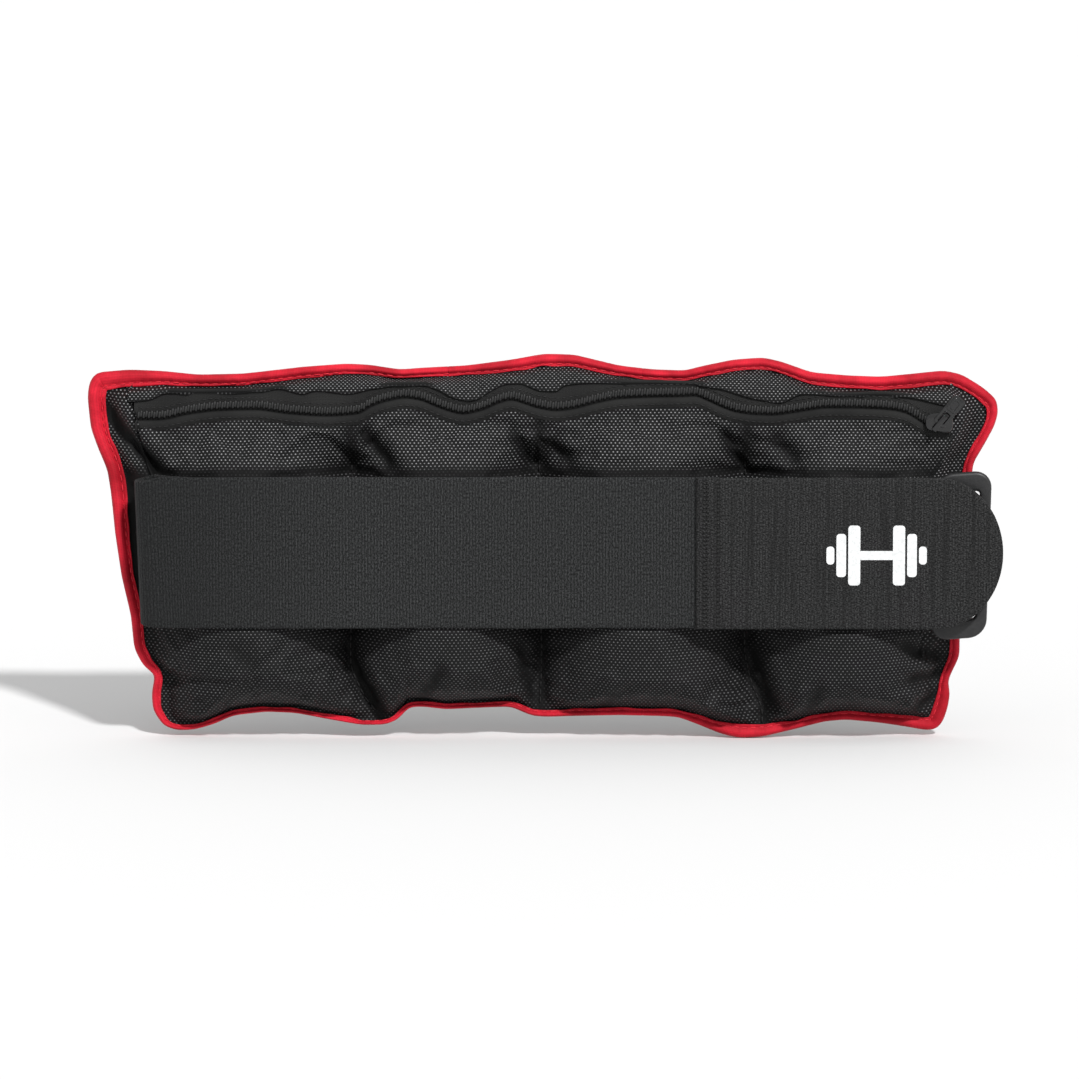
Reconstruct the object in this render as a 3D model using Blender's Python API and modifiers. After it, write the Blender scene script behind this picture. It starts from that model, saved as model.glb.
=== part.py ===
"""Ankle cuff weight: four stitched pouches of iron sand, a zip, an elastic strap and a ring.

Metres, +Z up. The cuff stands on its lower edge and faces -Y. The leg side faces +Y.
Run with: blender --background --python part.py
"""
import math

import bmesh
import bpy

MM = 0.001

# Driving dimensions
STRAP_WIDTH = 50.6 * MM
STRAP_LOW = 39.8 * MM
SEAMS = (-64.0 * MM, -1.5 * MM, 67.0 * MM)
SEAM_GAP = 0.6 * MM
FRONT_DEPTH = 18.0 * MM
BACK_DEPTH = 10.0 * MM
PANEL = 0.7 * MM
FLANGE = 4.2 * MM
SIDE_FLANGE = 5.0 * MM
FREE_EDGE = 1.5 * MM
SEAM_FLANGE = 1.4 * MM
EDGE_INSET = 1.1 * MM
END_FLANGE = FLANGE - EDGE_INSET
GAP = 0.3 * MM
FLANGE_HALF = 0.15 * MM + PANEL
BINDING_GAP = 0.5 * MM
BINDING_HALF = FLANGE_HALF + BINDING_GAP + PANEL
BINDING_HEIGHT = 3.4 * MM
BAND_BACK = 20.4 * MM
BAND_THICK = 1.8 * MM
TAB_THICK = 1.6 * MM
FRONT_MOST = BAND_BACK + BAND_THICK + GAP + TAB_THICK
MID_Y = (FRONT_MOST - BACK_DEPTH) / 2 - FLANGE_HALF / 2
ZIP_Z = 107.4 * MM
ZIP_SLIT = 2.2 * MM
ZIP_DEPTH = 9.0 * MM
ZIP_END = 132.3 * MM
PATCH_START = 135.8 * MM
TAPE_REACH = 4.0 * MM
END_X = 141.0 * MM
END_FALL = 6.0 * MM
SLIDER_X = 131.0 * MM
LOOP_X = -129.5 * MM
LOOP_RADIUS = 5.5 * MM
SEWN_X = (-129.1, -127, -124.5, -122, -119.5, -117)
BAND_END = 58.0 * MM
TAB_START = 46.5 * MM
TIP_X = 130.0 * MM
TIP_REACH = 22.0 * MM
BAG_HALF = (25.5 * MM, 13.8 * MM, 7.2 * MM, 36.0 * MM)
SAND_HALF = (24.4 * MM, 12.7 * MM, 6.2 * MM, 33.2 * MM)
BAG_WALL = 0.4 * MM
BAG_Z = 53.0 * MM
SAND_SETTLE = 1.5 * MM
TAPE_THICK = 0.6 * MM
COIL_THICK = 1.5 * MM
COIL_HALF = 1.5 * MM
ZIP_MIDDLE_GAP = 0.15 * MM
STRIP_START = 2.6 * MM
PATCH_LIFT = 1.5 * MM
PATCH_THICK = 0.5 * MM
PATCH_HALF = 3.52 * MM
WEB_THICK = 0.8 * MM
WEB_REACH = 2.8 * MM
WEB_X = (107, 111, 115, 119, 122)
WEB_LOW = 42.3 * MM
WEB_HIGH = 83.4 * MM
RING_DEPTH = 16.2 * MM
RING_THICK = 3.0 * MM
RING_LEFT = 129.0 * MM
RING_RIGHT = 147.0 * MM
RING_LOW = 35.7 * MM
RING_HIGH = 90.0 * MM
SLOT_LEFT = 132.4 * MM
SLOT_RIGHT = 144.5 * MM
SLOT_LOW = 41.0 * MM
SLOT_HIGH = 84.7 * MM
RING_BAR_X = (RING_LEFT + SLOT_LEFT) / 2
PULLER_ANGLE = math.radians(50)
SLIDER_THICK = 1.6 * MM
BRIDGE_RISE = 1.9 * MM

# Outline of the bound edge, in millimetres: the few places where each edge turns
TOP_EDGE = ((-152, 119), (-138, 123.6), (-112, 122), (-66, 125.6), (-48, 124), (0, 129),
            (42, 123.4), (73, 127.6), (108, 121.4), (134, 123.2), (151, 113))
BOTTOM_EDGE = ((-127, 0), (-116, 0), (-93, 7.5), (-64, 3.2), (-52, 3.2), (-22, 9.5), (28, 7.2),
               (60, 0), (75, 0), (98, 5.6), (122, 0), (132, 0))
LEFT_EDGE = ((0, -127), (12, -131), (60, -141), (90, -146), (106, -150.5), (119, -152))
RIGHT_EDGE = ((0, 132), (20, 136), (60, 141), (90, 144), (103, 149), (113, 151))

COLOURS = {
    "pouch_fabric": ((0.012, 0.012, 0.013), 0.75, 0.0),
    "back_fabric": ((0.014, 0.014, 0.015), 0.85, 0.0),
    "bag_nylon": ((0.25, 0.25, 0.24), 0.6, 0.0),
    "iron_sand": ((0.09, 0.08, 0.075), 0.55, 0.8),
    "zip_tape": ((0.010, 0.010, 0.011), 0.8, 0.0),
    "zip_coil": ((0.012, 0.012, 0.012), 0.4, 0.0),
    "binding": ((0.62, 0.02, 0.05), 0.7, 0.0),
    "elastic": ((0.03, 0.031, 0.032), 0.8, 0.0),
    "hook_tape": ((0.028, 0.029, 0.029), 0.7, 0.0),
    "webbing": ((0.012, 0.012, 0.012), 0.8, 0.0),
    "ring_plastic": ((0.045, 0.045, 0.045), 0.4, 0.0),
    "slider_metal": ((0.02, 0.02, 0.022), 0.35, 0.6),
}


def clear_scene():
    for obj in list(bpy.data.objects):
        bpy.data.objects.remove(obj, do_unlink=True)


def smooth(t):
    t = min(1.0, max(0.0, t))
    return t * t * (3 - 2 * t)


def through(points):
    """A curve through (x, y) points in millimetres that never overshoots them, in metres."""
    xs = [p[0] * MM for p in points]
    ys = [p[1] * MM for p in points]
    steps = [(ys[i + 1] - ys[i]) / (xs[i + 1] - xs[i]) for i in range(len(xs) - 1)]
    slopes = [steps[0]]
    for before, after in zip(steps, steps[1:]):
        turns = before * after <= 0
        slopes.append(0.0 if turns else 2 * before * after / (before + after))
    slopes.append(steps[-1])

    def value(x):
        x = min(xs[-1], max(xs[0], x))
        i = max(k for k in range(len(xs) - 1) if x >= xs[k])
        span = xs[i + 1] - xs[i]
        t = (x - xs[i]) / span
        lift = (1 + 2 * t) * (1 - t) ** 2 * ys[i] + t * t * (3 - 2 * t) * ys[i + 1]
        return lift + span * (t * (1 - t) ** 2 * slopes[i] - t * t * (1 - t) * slopes[i + 1])

    return value


top_edge = through(TOP_EDGE)
bottom_edge = through(BOTTOM_EDGE)
left_edge = through(LEFT_EDGE)
right_edge = through(RIGHT_EDGE)


def sway(x, z):
    """The lower edge weaves a little, so the cuff stands: corners back, outer seams forward."""
    low = max(0.0, 1 - z / (30 * MM)) ** 2
    corners = 2.8 * MM * smooth((abs(x) - 90 * MM) / (30 * MM))
    forward = 2.6 * MM * (math.exp(-(((x - SEAMS[2]) / (18 * MM)) ** 2))
                          + math.exp(-(((x - SEAMS[0]) / (18 * MM)) ** 2)))
    return low * (corners - forward)


def mid(x, z):
    return MID_Y + sway(x, z)


def span_of(index):
    """Left and right limits of a pouch as functions of height, and the flange width at each."""
    left = (lambda z: left_edge(z) + EDGE_INSET) if index == 0 else (
        lambda z: SEAMS[index - 1] + SEAM_GAP / 2)
    right = (lambda z: right_edge(z) - EDGE_INSET) if index == 3 else (
        lambda z: SEAMS[index] - SEAM_GAP / 2)
    left_flange = SIDE_FLANGE if index == 0 else SEAM_FLANGE
    right_flange = SIDE_FLANGE if index == 3 else SEAM_FLANGE
    return left, right, left_flange, right_flange


def across(index, x, z):
    """Place across a pouch: -1 and 1 at the inner ends of its flanges."""
    left, right, left_flange, right_flange = span_of(index)
    low = left(z) + left_flange
    high = right(z) - right_flange
    return min(1.0, max(-1.0, 2 * (x - low) / (high - low) - 1))


def zip_end_fall(index, x, z):
    """1 along the zip, falling to 0 where the cuff's own end flange starts."""
    left, right, left_flange, right_flange = span_of(index)
    inside = 1.0
    if index == 0:
        inside = (x - left(z) - left_flange) / END_FALL
    if index == 3:
        inside = (right(z) - right_flange - x) / END_FALL
    return smooth(inside)


def front_height(index, x, z):
    """How far the front panel's outer face stands in front of the flange."""
    floor_z = bottom_edge(x) + FLANGE
    rise = min(1.0, max(0.0, (z - floor_z) / (20 * MM)))
    along = (z - floor_z) / (ZIP_Z - floor_z)
    lobe = FRONT_DEPTH * (1 - abs(across(index, x, z)) ** 2.2) * math.sqrt(1 - (1 - rise) ** 2)
    lobe *= 1 - 0.42 * smooth((along - 0.5) / 0.5)
    near_zip = smooth((along - 0.76) / 0.2)
    return lobe * (1 - near_zip) + ZIP_DEPTH * zip_end_fall(index, x, z) * near_zip


def strip_height(index, x, z):
    """The strip above the zip falls from the zip to the top flange."""
    start = ZIP_Z + ZIP_SLIT + STRIP_START
    t = min(1.0, max(0.0, (z - start) / (top_edge(x) - FLANGE - start)))
    return ZIP_DEPTH * zip_end_fall(index, x, z) * math.sqrt(1 - t * t)


def back_height(index, x, z):
    """The leg side: low lobes with a flat pad in the middle of each."""
    low = bottom_edge(x) + FLANGE
    high = top_edge(x) - FLANGE
    rise = min(1.0, max(0.0, min(z - low, high - z) / (26 * MM)))
    lobe = 1.25 * (1 - across(index, x, z) ** 2)
    return BACK_DEPTH * min(1.0, lobe) * math.sqrt(1 - (1 - rise) ** 2)


def paint(obj, slot):
    material = bpy.data.materials.get(slot)
    if material is None:
        material = bpy.data.materials.new(slot)
        material.use_nodes = True
        shader = material.node_tree.nodes["Principled BSDF"]
        colour, roughness, metallic = COLOURS[slot]
        shader.inputs["Base Color"].default_value = (*colour, 1)
        shader.inputs["Roughness"].default_value = roughness
        shader.inputs["Metallic"].default_value = metallic
    obj.data.materials.clear()
    obj.data.materials.append(material)


def add_mesh(name, bm, slot, pivot):
    mesh = bpy.data.meshes.new(name)
    bm.to_mesh(mesh)
    bm.free()
    obj = bpy.data.objects.new(name, mesh)
    place(obj, slot, pivot)
    return obj


def place(obj, slot, pivot):
    for user in list(obj.users_collection):
        user.objects.unlink(obj)
    parts.objects.link(obj)
    paint(obj, slot)
    obj.parent = pivot
    obj.matrix_parent_inverse = pivot.matrix_world.inverted()


def thicken(obj, thickness):
    solid = obj.modifiers.new("Solidify", "SOLIDIFY")
    solid.thickness = thickness
    solid.offset = -1


def grid_line(k, count, low, high, low_flange, high_flange):
    """Place of grid line k: one at each edge and each flange's inner end, the rest closer near the ends."""
    if k == 0:
        return low
    if k == count + 2:
        return high
    t = (1 - math.cos(math.pi * (k - 1) / count)) / 2
    return low + low_flange + (high - high_flange - low - low_flange) * t


def panel(name, slot, pivot, index, low, high, height, columns, rows, side, flanges):
    """A sewn panel as an open sheet with Solidify. side is -1 for the front and 1 for the back."""
    left, right, left_flange, right_flange = span_of(index)
    bm = bmesh.new()
    bmesh.ops.create_grid(bm, x_segments=columns + 2, y_segments=rows + 2, size=0.5)
    for vert in bm.verts:
        column = round((vert.co.x + 0.5) * (columns + 2))
        row = round((vert.co.y + 0.5) * (rows + 2))
        z = 60 * MM
        for _ in range(3):
            x = grid_line(column, columns, left(z), right(z), left_flange, right_flange)
            z = grid_line(row, rows, low(x), high(x), *flanges)
        vert.co = (x, mid(x, z) + side * (FLANGE_HALF + height(index, x, z)), z)
    if side > 0:
        bmesh.ops.reverse_faces(bm, faces=bm.faces)
    obj = add_mesh(name, bm, slot, pivot)
    thicken(obj, PANEL)
    return obj


def pillow(name, slot, pivot, centre, half, cuts, mouth=None):
    """A rounded sack: a subdivided cube pushed onto a superellipsoid, deeper at the front.

    With a mouth it is an open-topped bag of that wall thickness, otherwise a solid.
    """
    power = 2.3
    bm = bmesh.new()
    bmesh.ops.create_cube(bm, size=2)
    bmesh.ops.subdivide_edges(bm, edges=bm.edges, cuts=cuts, use_grid_fill=True)
    for vert in bm.verts:
        spread = sum(abs(c) ** power for c in vert.co) ** (1 / power)
        x, y, z = vert.co / spread
        depth = half[1] if y < 0 else half[2]
        vert.co = (centre[0] + half[0] * x, centre[1] + depth * y, centre[2] + half[3] * z)
    if mouth:
        rim = centre[2] + 0.88 * half[3]
        top = [f for f in bm.faces if f.calc_center_median().z > rim]
        bmesh.ops.delete(bm, geom=top, context="FACES")
    obj = add_mesh(name, bm, slot, pivot)
    if mouth:
        thicken(obj, mouth)
    return obj


def box(name, slot, pivot, low, high):
    bm = bmesh.new()
    bmesh.ops.create_cube(bm, size=1)
    for vert in bm.verts:
        vert.co = [(a + b) / 2 + c * (b - a) for a, b, c in zip(low, high, vert.co)]
    return add_mesh(name, bm, slot, pivot)


def bind(name, pivot, path, inward):
    """Folded tape round an edge: front leaf, fold and back leaf along (x, z) points, with Solidify."""
    bm = bmesh.new()
    bmesh.ops.create_grid(bm, x_segments=len(path) - 1, y_segments=3, size=0.5)
    for vert in bm.verts:
        x, z = path[round((vert.co.x + 0.5) * (len(path) - 1))]
        row = round((vert.co.y + 0.5) * 3)
        reach = BINDING_HEIGHT if row in (0, 3) else 0.0
        side = -BINDING_HALF if row < 2 else BINDING_HALF
        x += inward[0] * reach
        z += inward[1] * reach
        vert.co = (x, mid(x, z) + side, z)
    bmesh.ops.recalc_face_normals(bm, faces=bm.faces)
    fold = min(bm.faces, key=lambda f: f.calc_center_median().x * inward[0]
               + f.calc_center_median().z * inward[1])
    fold.normal_update()
    if fold.normal.x * inward[0] + fold.normal.z * inward[1] > 0:
        bmesh.ops.reverse_faces(bm, faces=bm.faces)
    obj = add_mesh(name, bm, "binding", pivot)
    thicken(obj, PANEL)
    return obj


def ribbon(name, slot, pivot, path, low, high, thickness):
    """A strip of webbing or elastic: (x, y) points of its mid-line, standing from low to high in Z."""
    bm = bmesh.new()
    bmesh.ops.create_grid(bm, x_segments=len(path) - 1, y_segments=1, size=0.5)
    for vert in bm.verts:
        x, y = path[round((vert.co.x + 0.5) * (len(path) - 1))]
        vert.co = (x, y, low if vert.co.y < 0 else high)
    obj = add_mesh(name, bm, slot, pivot)
    solid = obj.modifiers.new("Solidify", "SOLIDIFY")
    solid.thickness = thickness
    solid.offset = 0
    return obj


def flat_outline(name, slot, pivot, loops, y, thickness):
    """A plate in the XZ plane from a filled 2D curve, turned into a closed mesh."""
    curve = bpy.data.curves.new(name + "_outline", "CURVE")
    curve.dimensions = "2D"
    curve.fill_mode = "BOTH"
    curve.extrude = thickness / 2
    curve.render_resolution_u = 0
    for points in loops:
        spline = curve.splines.new("POLY")
        spline.points.add(len(points) - 1)
        for point, (x, z) in zip(spline.points, points):
            point.co = (x, z, 0, 1)
        spline.use_cyclic_u = True
    guide = bpy.data.objects.new(name + "_outline", curve)
    guide.rotation_euler = (math.pi / 2, 0, 0)
    guide.location = (0, y, 0)
    cutters.objects.link(guide)
    bpy.context.view_layer.update()
    evaluated = guide.evaluated_get(bpy.context.evaluated_depsgraph_get())
    mesh = bpy.data.meshes.new_from_object(evaluated)
    mesh.transform(guide.matrix_world)
    bpy.data.objects.remove(guide)
    bm = bmesh.new()
    bm.from_mesh(mesh)
    bmesh.ops.remove_doubles(bm, verts=bm.verts, dist=0.00001)
    bmesh.ops.recalc_face_normals(bm, faces=bm.faces)
    return add_mesh(name, bm, slot, pivot)


def rounded_rectangle(left, right, low, high, radius, count=4):
    points = []
    for cx, cz, start in ((right - radius, high - radius, 0), (left + radius, high - radius, 90),
                          (left + radius, low + radius, 180), (right - radius, low + radius, 270)):
        for k in range(count + 1):
            angle = math.radians(start + 90 * k / count)
            points.append((cx + radius * math.cos(angle), cz + radius * math.sin(angle)))
    return points


def pivot_at(name, location, parent=None):
    empty = bpy.data.objects.new(name, None)
    empty.empty_display_size = 0.01
    empty.location = location
    parts.objects.link(empty)
    bpy.context.view_layer.update()
    if parent:
        empty.parent = parent
        empty.matrix_parent_inverse = parent.matrix_world.inverted()
        bpy.context.view_layer.update()
    return empty


def cut(target, cutter, operation="DIFFERENCE"):
    modifier = target.modifiers.new("Boolean", "BOOLEAN")
    modifier.operation = operation
    modifier.solver = "EXACT"
    modifier.object = cutter
    for user in list(cutter.users_collection):
        user.objects.unlink(cutter)
    cutters.objects.link(cutter)
    cutter.hide_render = True
    cutter.display_type = "WIRE"


def edge_path(start, end, count, edge, upright=False):
    """Points along a bound edge, as (x, z)."""
    places = [start + (end - start) * k / count for k in range(count + 1)]
    return [(edge(s), s) if upright else (s, edge(s)) for s in places]


def build_pouch(index, pivot):
    number = index + 1
    left, right, _, _ = span_of(index)
    panel(f"front_panel_{number}", "pouch_fabric", pivot, index,
          lambda x: bottom_edge(x) + EDGE_INSET, lambda x: ZIP_Z - ZIP_SLIT,
          front_height, 8, 9, -1, (END_FLANGE, FREE_EDGE))
    panel(f"front_strip_{number}", "pouch_fabric", pivot, index,
          lambda x: ZIP_Z + ZIP_SLIT, lambda x: top_edge(x) - EDGE_INSET,
          strip_height, 8, 3, -1, (FREE_EDGE, END_FLANGE))
    panel(f"back_panel_{number}", "back_fabric", pivot, index,
          lambda x: bottom_edge(x) + EDGE_INSET, lambda x: top_edge(x) - EDGE_INSET,
          back_height, 8, 8, 1, (END_FLANGE, END_FLANGE))
    centre = ((left(BAG_Z) + right(BAG_Z)) / 2, MID_Y, BAG_Z)
    pillow(f"weight_bag_{number}", "bag_nylon", pivot, centre, BAG_HALF, 3, mouth=BAG_WALL)
    pillow(f"iron_sand_{number}", "iron_sand", pivot,
           (centre[0], centre[1], BAG_Z - SAND_SETTLE), SAND_HALF, 3)
    start = max(left(ZIP_Z), -ZIP_END)
    end = min(right(ZIP_Z), ZIP_END)
    tape_y = MID_Y - FLANGE_HALF - ZIP_DEPTH + PANEL + GAP
    box(f"zip_tape_lower_{number}", "zip_tape", pivot,
        (start, tape_y, ZIP_Z - TAPE_REACH), (end, tape_y + TAPE_THICK, ZIP_Z - ZIP_MIDDLE_GAP))
    box(f"zip_tape_upper_{number}", "zip_tape", pivot,
        (start, tape_y, ZIP_Z + ZIP_MIDDLE_GAP), (end, tape_y + TAPE_THICK, ZIP_Z + TAPE_REACH))
    box(f"zip_coil_{number}", "zip_coil", pivot,
        (start, tape_y - GAP - COIL_THICK, ZIP_Z - COIL_HALF), (end, tape_y - GAP, ZIP_Z + COIL_HALF))
    edge_left = TOP_EDGE[0][0] * MM if index == 0 else left(0)
    edge_right = TOP_EDGE[-1][0] * MM if index == 3 else right(0)
    bind(f"binding_top_{number}", pivot, edge_path(edge_left, edge_right, 10, top_edge), (0, -1))
    edge_left = BOTTOM_EDGE[0][0] * MM if index == 0 else left(0)
    edge_right = BOTTOM_EDGE[-1][0] * MM if index == 3 else right(0)
    path = edge_path(edge_left, edge_right, 10, bottom_edge)
    turn = {0: -116, 2: 60, 3: 75}.get(index)
    if turn:
        nearest = min(range(1, 10), key=lambda k: abs(path[k][0] - turn * MM))
        path[nearest] = (turn * MM, bottom_edge(turn * MM))
    bind(f"binding_bottom_{number}", pivot, path, (0, 1))


def build_ends(left_pivot, right_pivot):
    clear = BINDING_HEIGHT + GAP
    bind("binding_left_end", left_pivot,
         edge_path(clear, 119 * MM - clear, 12, left_edge, upright=True), (1, 0))
    bind("binding_right_end", right_pivot,
         edge_path(clear, 113 * MM - clear, 12, right_edge, upright=True), (-1, 0))
    for name, index, side, pivot in (("zip_end_patch_left", 0, -1, left_pivot),
                                     ("zip_end_patch_right", 3, 1, right_pivot)):
        xs = sorted((side * PATCH_START, side * END_X))
        bm = bmesh.new()
        bmesh.ops.create_grid(bm, x_segments=4, y_segments=2, size=0.5)
        for vert in bm.verts:
            x = xs[0] + (xs[1] - xs[0]) * (vert.co.x + 0.5)
            z = ZIP_Z + 2 * vert.co.y * PATCH_HALF
            height = ZIP_DEPTH * zip_end_fall(index, x, z)
            vert.co = (x, MID_Y - FLANGE_HALF - height - PATCH_LIFT, z)
        thicken(add_mesh(name, bm, "pouch_fabric", pivot), PATCH_THICK)


def build_strap(anchor_pivot, strap_pivot):
    high = STRAP_LOW + STRAP_WIDTH
    loop_y = MID_Y - BAND_BACK - BAND_THICK / 2 + LOOP_RADIUS
    lay = BAND_THICK / 2 + GAP + FLANGE_HALF

    def on_pouch(x):
        tallest = max(front_height(0, x, z) for z in (STRAP_LOW, 55 * MM, 70 * MM, 80 * MM))
        return min(MID_Y - lay - tallest, loop_y + LOOP_RADIUS)

    sewn = [(x * MM, on_pouch(x * MM)) for x in SEWN_X]
    ribbon("strap_anchor", "elastic", anchor_pivot, sewn, STRAP_LOW, high, BAND_THICK)
    loop = []
    for k in range(1, 12):
        angle = math.radians(90 + 180 * k / 12)
        loop.append((LOOP_X + LOOP_RADIUS * math.cos(angle), loop_y + LOOP_RADIUS * math.sin(angle)))
    ribbon("strap_fold", "elastic", strap_pivot, loop, STRAP_LOW, high, BAND_THICK)
    back = MID_Y - BAND_BACK
    box("strap_band", "elastic", strap_pivot,
        (LOOP_X, back - BAND_THICK, STRAP_LOW), (BAND_END, back, high))
    tip = []
    centre_z = (STRAP_LOW + high) / 2
    for k in range(25):
        angle = math.radians(-90 + 180 * k / 24)
        tip.append((TIP_X + TIP_REACH * math.cos(angle), centre_z + STRAP_WIDTH / 2 * math.sin(angle)))
    outline = [(TAB_START, STRAP_LOW)] + tip + [(TAB_START, high)]
    flat_outline("strap_hook_tab", "hook_tape", strap_pivot, [outline],
                 back - BAND_THICK - GAP - TAB_THICK / 2, TAB_THICK)


def build_ring(loop_pivot, ring_pivot):
    y = MID_Y - RING_DEPTH
    frame = rounded_rectangle(RING_LEFT, RING_RIGHT, RING_LOW, RING_HIGH, 3.6 * MM)
    slot = rounded_rectangle(SLOT_LEFT, SLOT_RIGHT, SLOT_LOW, SLOT_HIGH, 1.2 * MM, 2)
    flat_outline("strap_ring", "ring_plastic", ring_pivot, [frame, slot], y, RING_THICK)
    rest = FLANGE_HALF + GAP + WEB_THICK / 2
    lap = WEB_THICK + 0.7 * MM

    def on_pouch(x, extra):
        return MID_Y - rest - front_height(3, x, 62 * MM) - extra

    back = [(x * MM, on_pouch(x * MM, 0.2 * MM)) for x in WEB_X]
    wrap = []
    for k in range(9):
        angle = math.radians(90 - 180 * k / 8)
        wrap.append((RING_BAR_X + WEB_REACH * math.sqrt(abs(math.cos(angle))),
                     y + WEB_REACH * math.copysign(math.sqrt(abs(math.sin(angle))), math.sin(angle))))
    front = [(x * MM, on_pouch(x * MM, lap)) for x in reversed(WEB_X)]
    front[0] = (front[0][0], min(front[0][1], y - WEB_REACH + 0.2 * MM))
    ribbon("ring_webbing", "webbing", loop_pivot, back + wrap + front, WEB_LOW, WEB_HIGH, WEB_THICK)


def slider_back():
    return MID_Y - FLANGE_HALF - ZIP_DEPTH + PANEL - GAP - COIL_THICK


def along_puller(points):
    """Turns (across, along) places on the puller into (x, z)."""
    c, s = math.cos(PULLER_ANGLE), math.sin(PULLER_ANGLE)
    return [(SLIDER_X + a * s + b * c, ZIP_Z - a * c + b * s) for a, b in points]


def build_slider(pivot):
    """A plate on the coil with a bridge over it: two posts and a bar that the puller's eye goes round."""
    back = slider_back()
    plate = flat_outline("zip_slider", "slider_metal", pivot,
                         [rounded_rectangle(SLIDER_X - 4.4 * MM, SLIDER_X + 4.4 * MM,
                                            ZIP_Z - 3.6 * MM, ZIP_Z + 3.6 * MM, 1.6 * MM, 3)],
                         back - SLIDER_THICK / 2, SLIDER_THICK)
    bar_depth = SLIDER_THICK + BRIDGE_RISE
    for name, low, high, near, far in (("post_low", -3.0, -2.2, 1.0 * MM, bar_depth + 0.4 * MM),
                                       ("post_high", 2.2, 3.0, 1.0 * MM, bar_depth + 0.4 * MM),
                                       ("bar", -2.8, 2.8, bar_depth, bar_depth + 0.9 * MM)):
        outline = along_puller([(-0.5 * MM, low * MM), (0.5 * MM, low * MM),
                                (0.5 * MM, high * MM), (-0.5 * MM, high * MM)])
        piece = flat_outline("slider_" + name, "slider_metal", pivot, [outline],
                             back - (near + far) / 2, far - near)
        cut(plate, piece, "UNION")


def build_puller(pivot):
    """The tab lies flat; the end of its eye passes under the slider's bridge."""
    outer = along_puller(rounded_rectangle(-2.2 * MM, 2.2 * MM, -0.6 * MM, 10.8 * MM, 0.5 * MM, 3))
    eye = along_puller(rounded_rectangle(-1.3 * MM, 1.3 * MM, 0.6 * MM, 4.2 * MM, 0.3 * MM, 2))
    flat_outline("zip_puller", "slider_metal", pivot, [outer, eye], PULLER_Y, 0.9 * MM)


clear_scene()
parts = bpy.data.collections.new("ankle_cuff_weight")
cutters = bpy.data.collections.new("ankle_cuff_weight_cutters")
bpy.context.scene.collection.children.link(parts)
bpy.context.scene.collection.children.link(cutters)

HINGE_Y = MID_Y + BINDING_HALF + 0.15 * MM
PULLER_Y = slider_back() - SLIDER_THICK - BRIDGE_RISE / 2
root = pivot_at("cuff_origin", (0, 0, 0))
seam_1 = pivot_at("seam_1_pivot", (SEAMS[0], HINGE_Y, 0), root)
seam_2 = pivot_at("seam_2_pivot", (SEAMS[1], HINGE_Y, 0), root)
seam_3 = pivot_at("seam_3_pivot", (SEAMS[2], HINGE_Y, 0), seam_2)
strap = pivot_at("strap_pivot", (LOOP_X, MID_Y - BAND_BACK - BAND_THICK / 2 + LOOP_RADIUS, 0), seam_1)
ring = pivot_at("ring_pivot", (RING_BAR_X, MID_Y - RING_DEPTH, 0), seam_3)
slider = pivot_at("slider_pivot", (SLIDER_X, MID_Y - ZIP_DEPTH, ZIP_Z), seam_3)

for pouch_index, pouch_pivot in enumerate((seam_1, root, seam_2, seam_3)):
    build_pouch(pouch_index, pouch_pivot)
build_ends(seam_1, seam_3)
build_strap(seam_1, strap)
build_ring(seam_3, ring)
build_slider(slider)
puller = pivot_at("puller_pivot", (SLIDER_X, PULLER_Y, ZIP_Z), slider)
build_puller(puller)
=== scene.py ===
"""Ankle cuff weight: the looks. Cloth, binding, zip, strap and finish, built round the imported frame."""
import math
from contextlib import contextmanager

import bmesh
import bpy
import numpy as np
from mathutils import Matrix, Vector


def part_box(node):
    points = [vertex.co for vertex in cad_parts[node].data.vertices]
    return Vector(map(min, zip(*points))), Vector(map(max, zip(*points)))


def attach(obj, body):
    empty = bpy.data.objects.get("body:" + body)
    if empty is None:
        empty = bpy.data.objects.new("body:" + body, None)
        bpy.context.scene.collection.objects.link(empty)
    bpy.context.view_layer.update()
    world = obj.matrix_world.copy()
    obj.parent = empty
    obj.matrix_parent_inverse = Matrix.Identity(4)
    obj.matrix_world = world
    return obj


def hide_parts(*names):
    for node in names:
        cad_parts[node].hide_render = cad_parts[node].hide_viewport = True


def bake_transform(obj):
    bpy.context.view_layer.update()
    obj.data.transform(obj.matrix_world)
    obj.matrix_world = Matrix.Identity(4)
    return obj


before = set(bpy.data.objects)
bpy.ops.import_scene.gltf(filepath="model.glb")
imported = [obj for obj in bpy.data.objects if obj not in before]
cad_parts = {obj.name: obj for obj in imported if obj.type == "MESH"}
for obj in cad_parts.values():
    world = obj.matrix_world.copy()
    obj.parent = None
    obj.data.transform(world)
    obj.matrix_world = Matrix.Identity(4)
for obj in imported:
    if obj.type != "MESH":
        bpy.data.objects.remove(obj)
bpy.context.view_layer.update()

MM = 0.001

# Frame measures, in millimetres: the same as the CAD's
MID_Y = 6.625
FLANGE = 0.85
SEAM_X = (-64.0, -1.5, 67.0)
ZIP_Z = 107.4
LOOP_X = -129.5
LOOP_Y = -9.175
LOOP_RADIUS = 5.5
STRAP_LOW, STRAP_HIGH = 39.8, 90.4
BAND_Y = -14.675
BAND_THICK = 1.7
MID_POUCH = (-32.0, 33.0)

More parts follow.
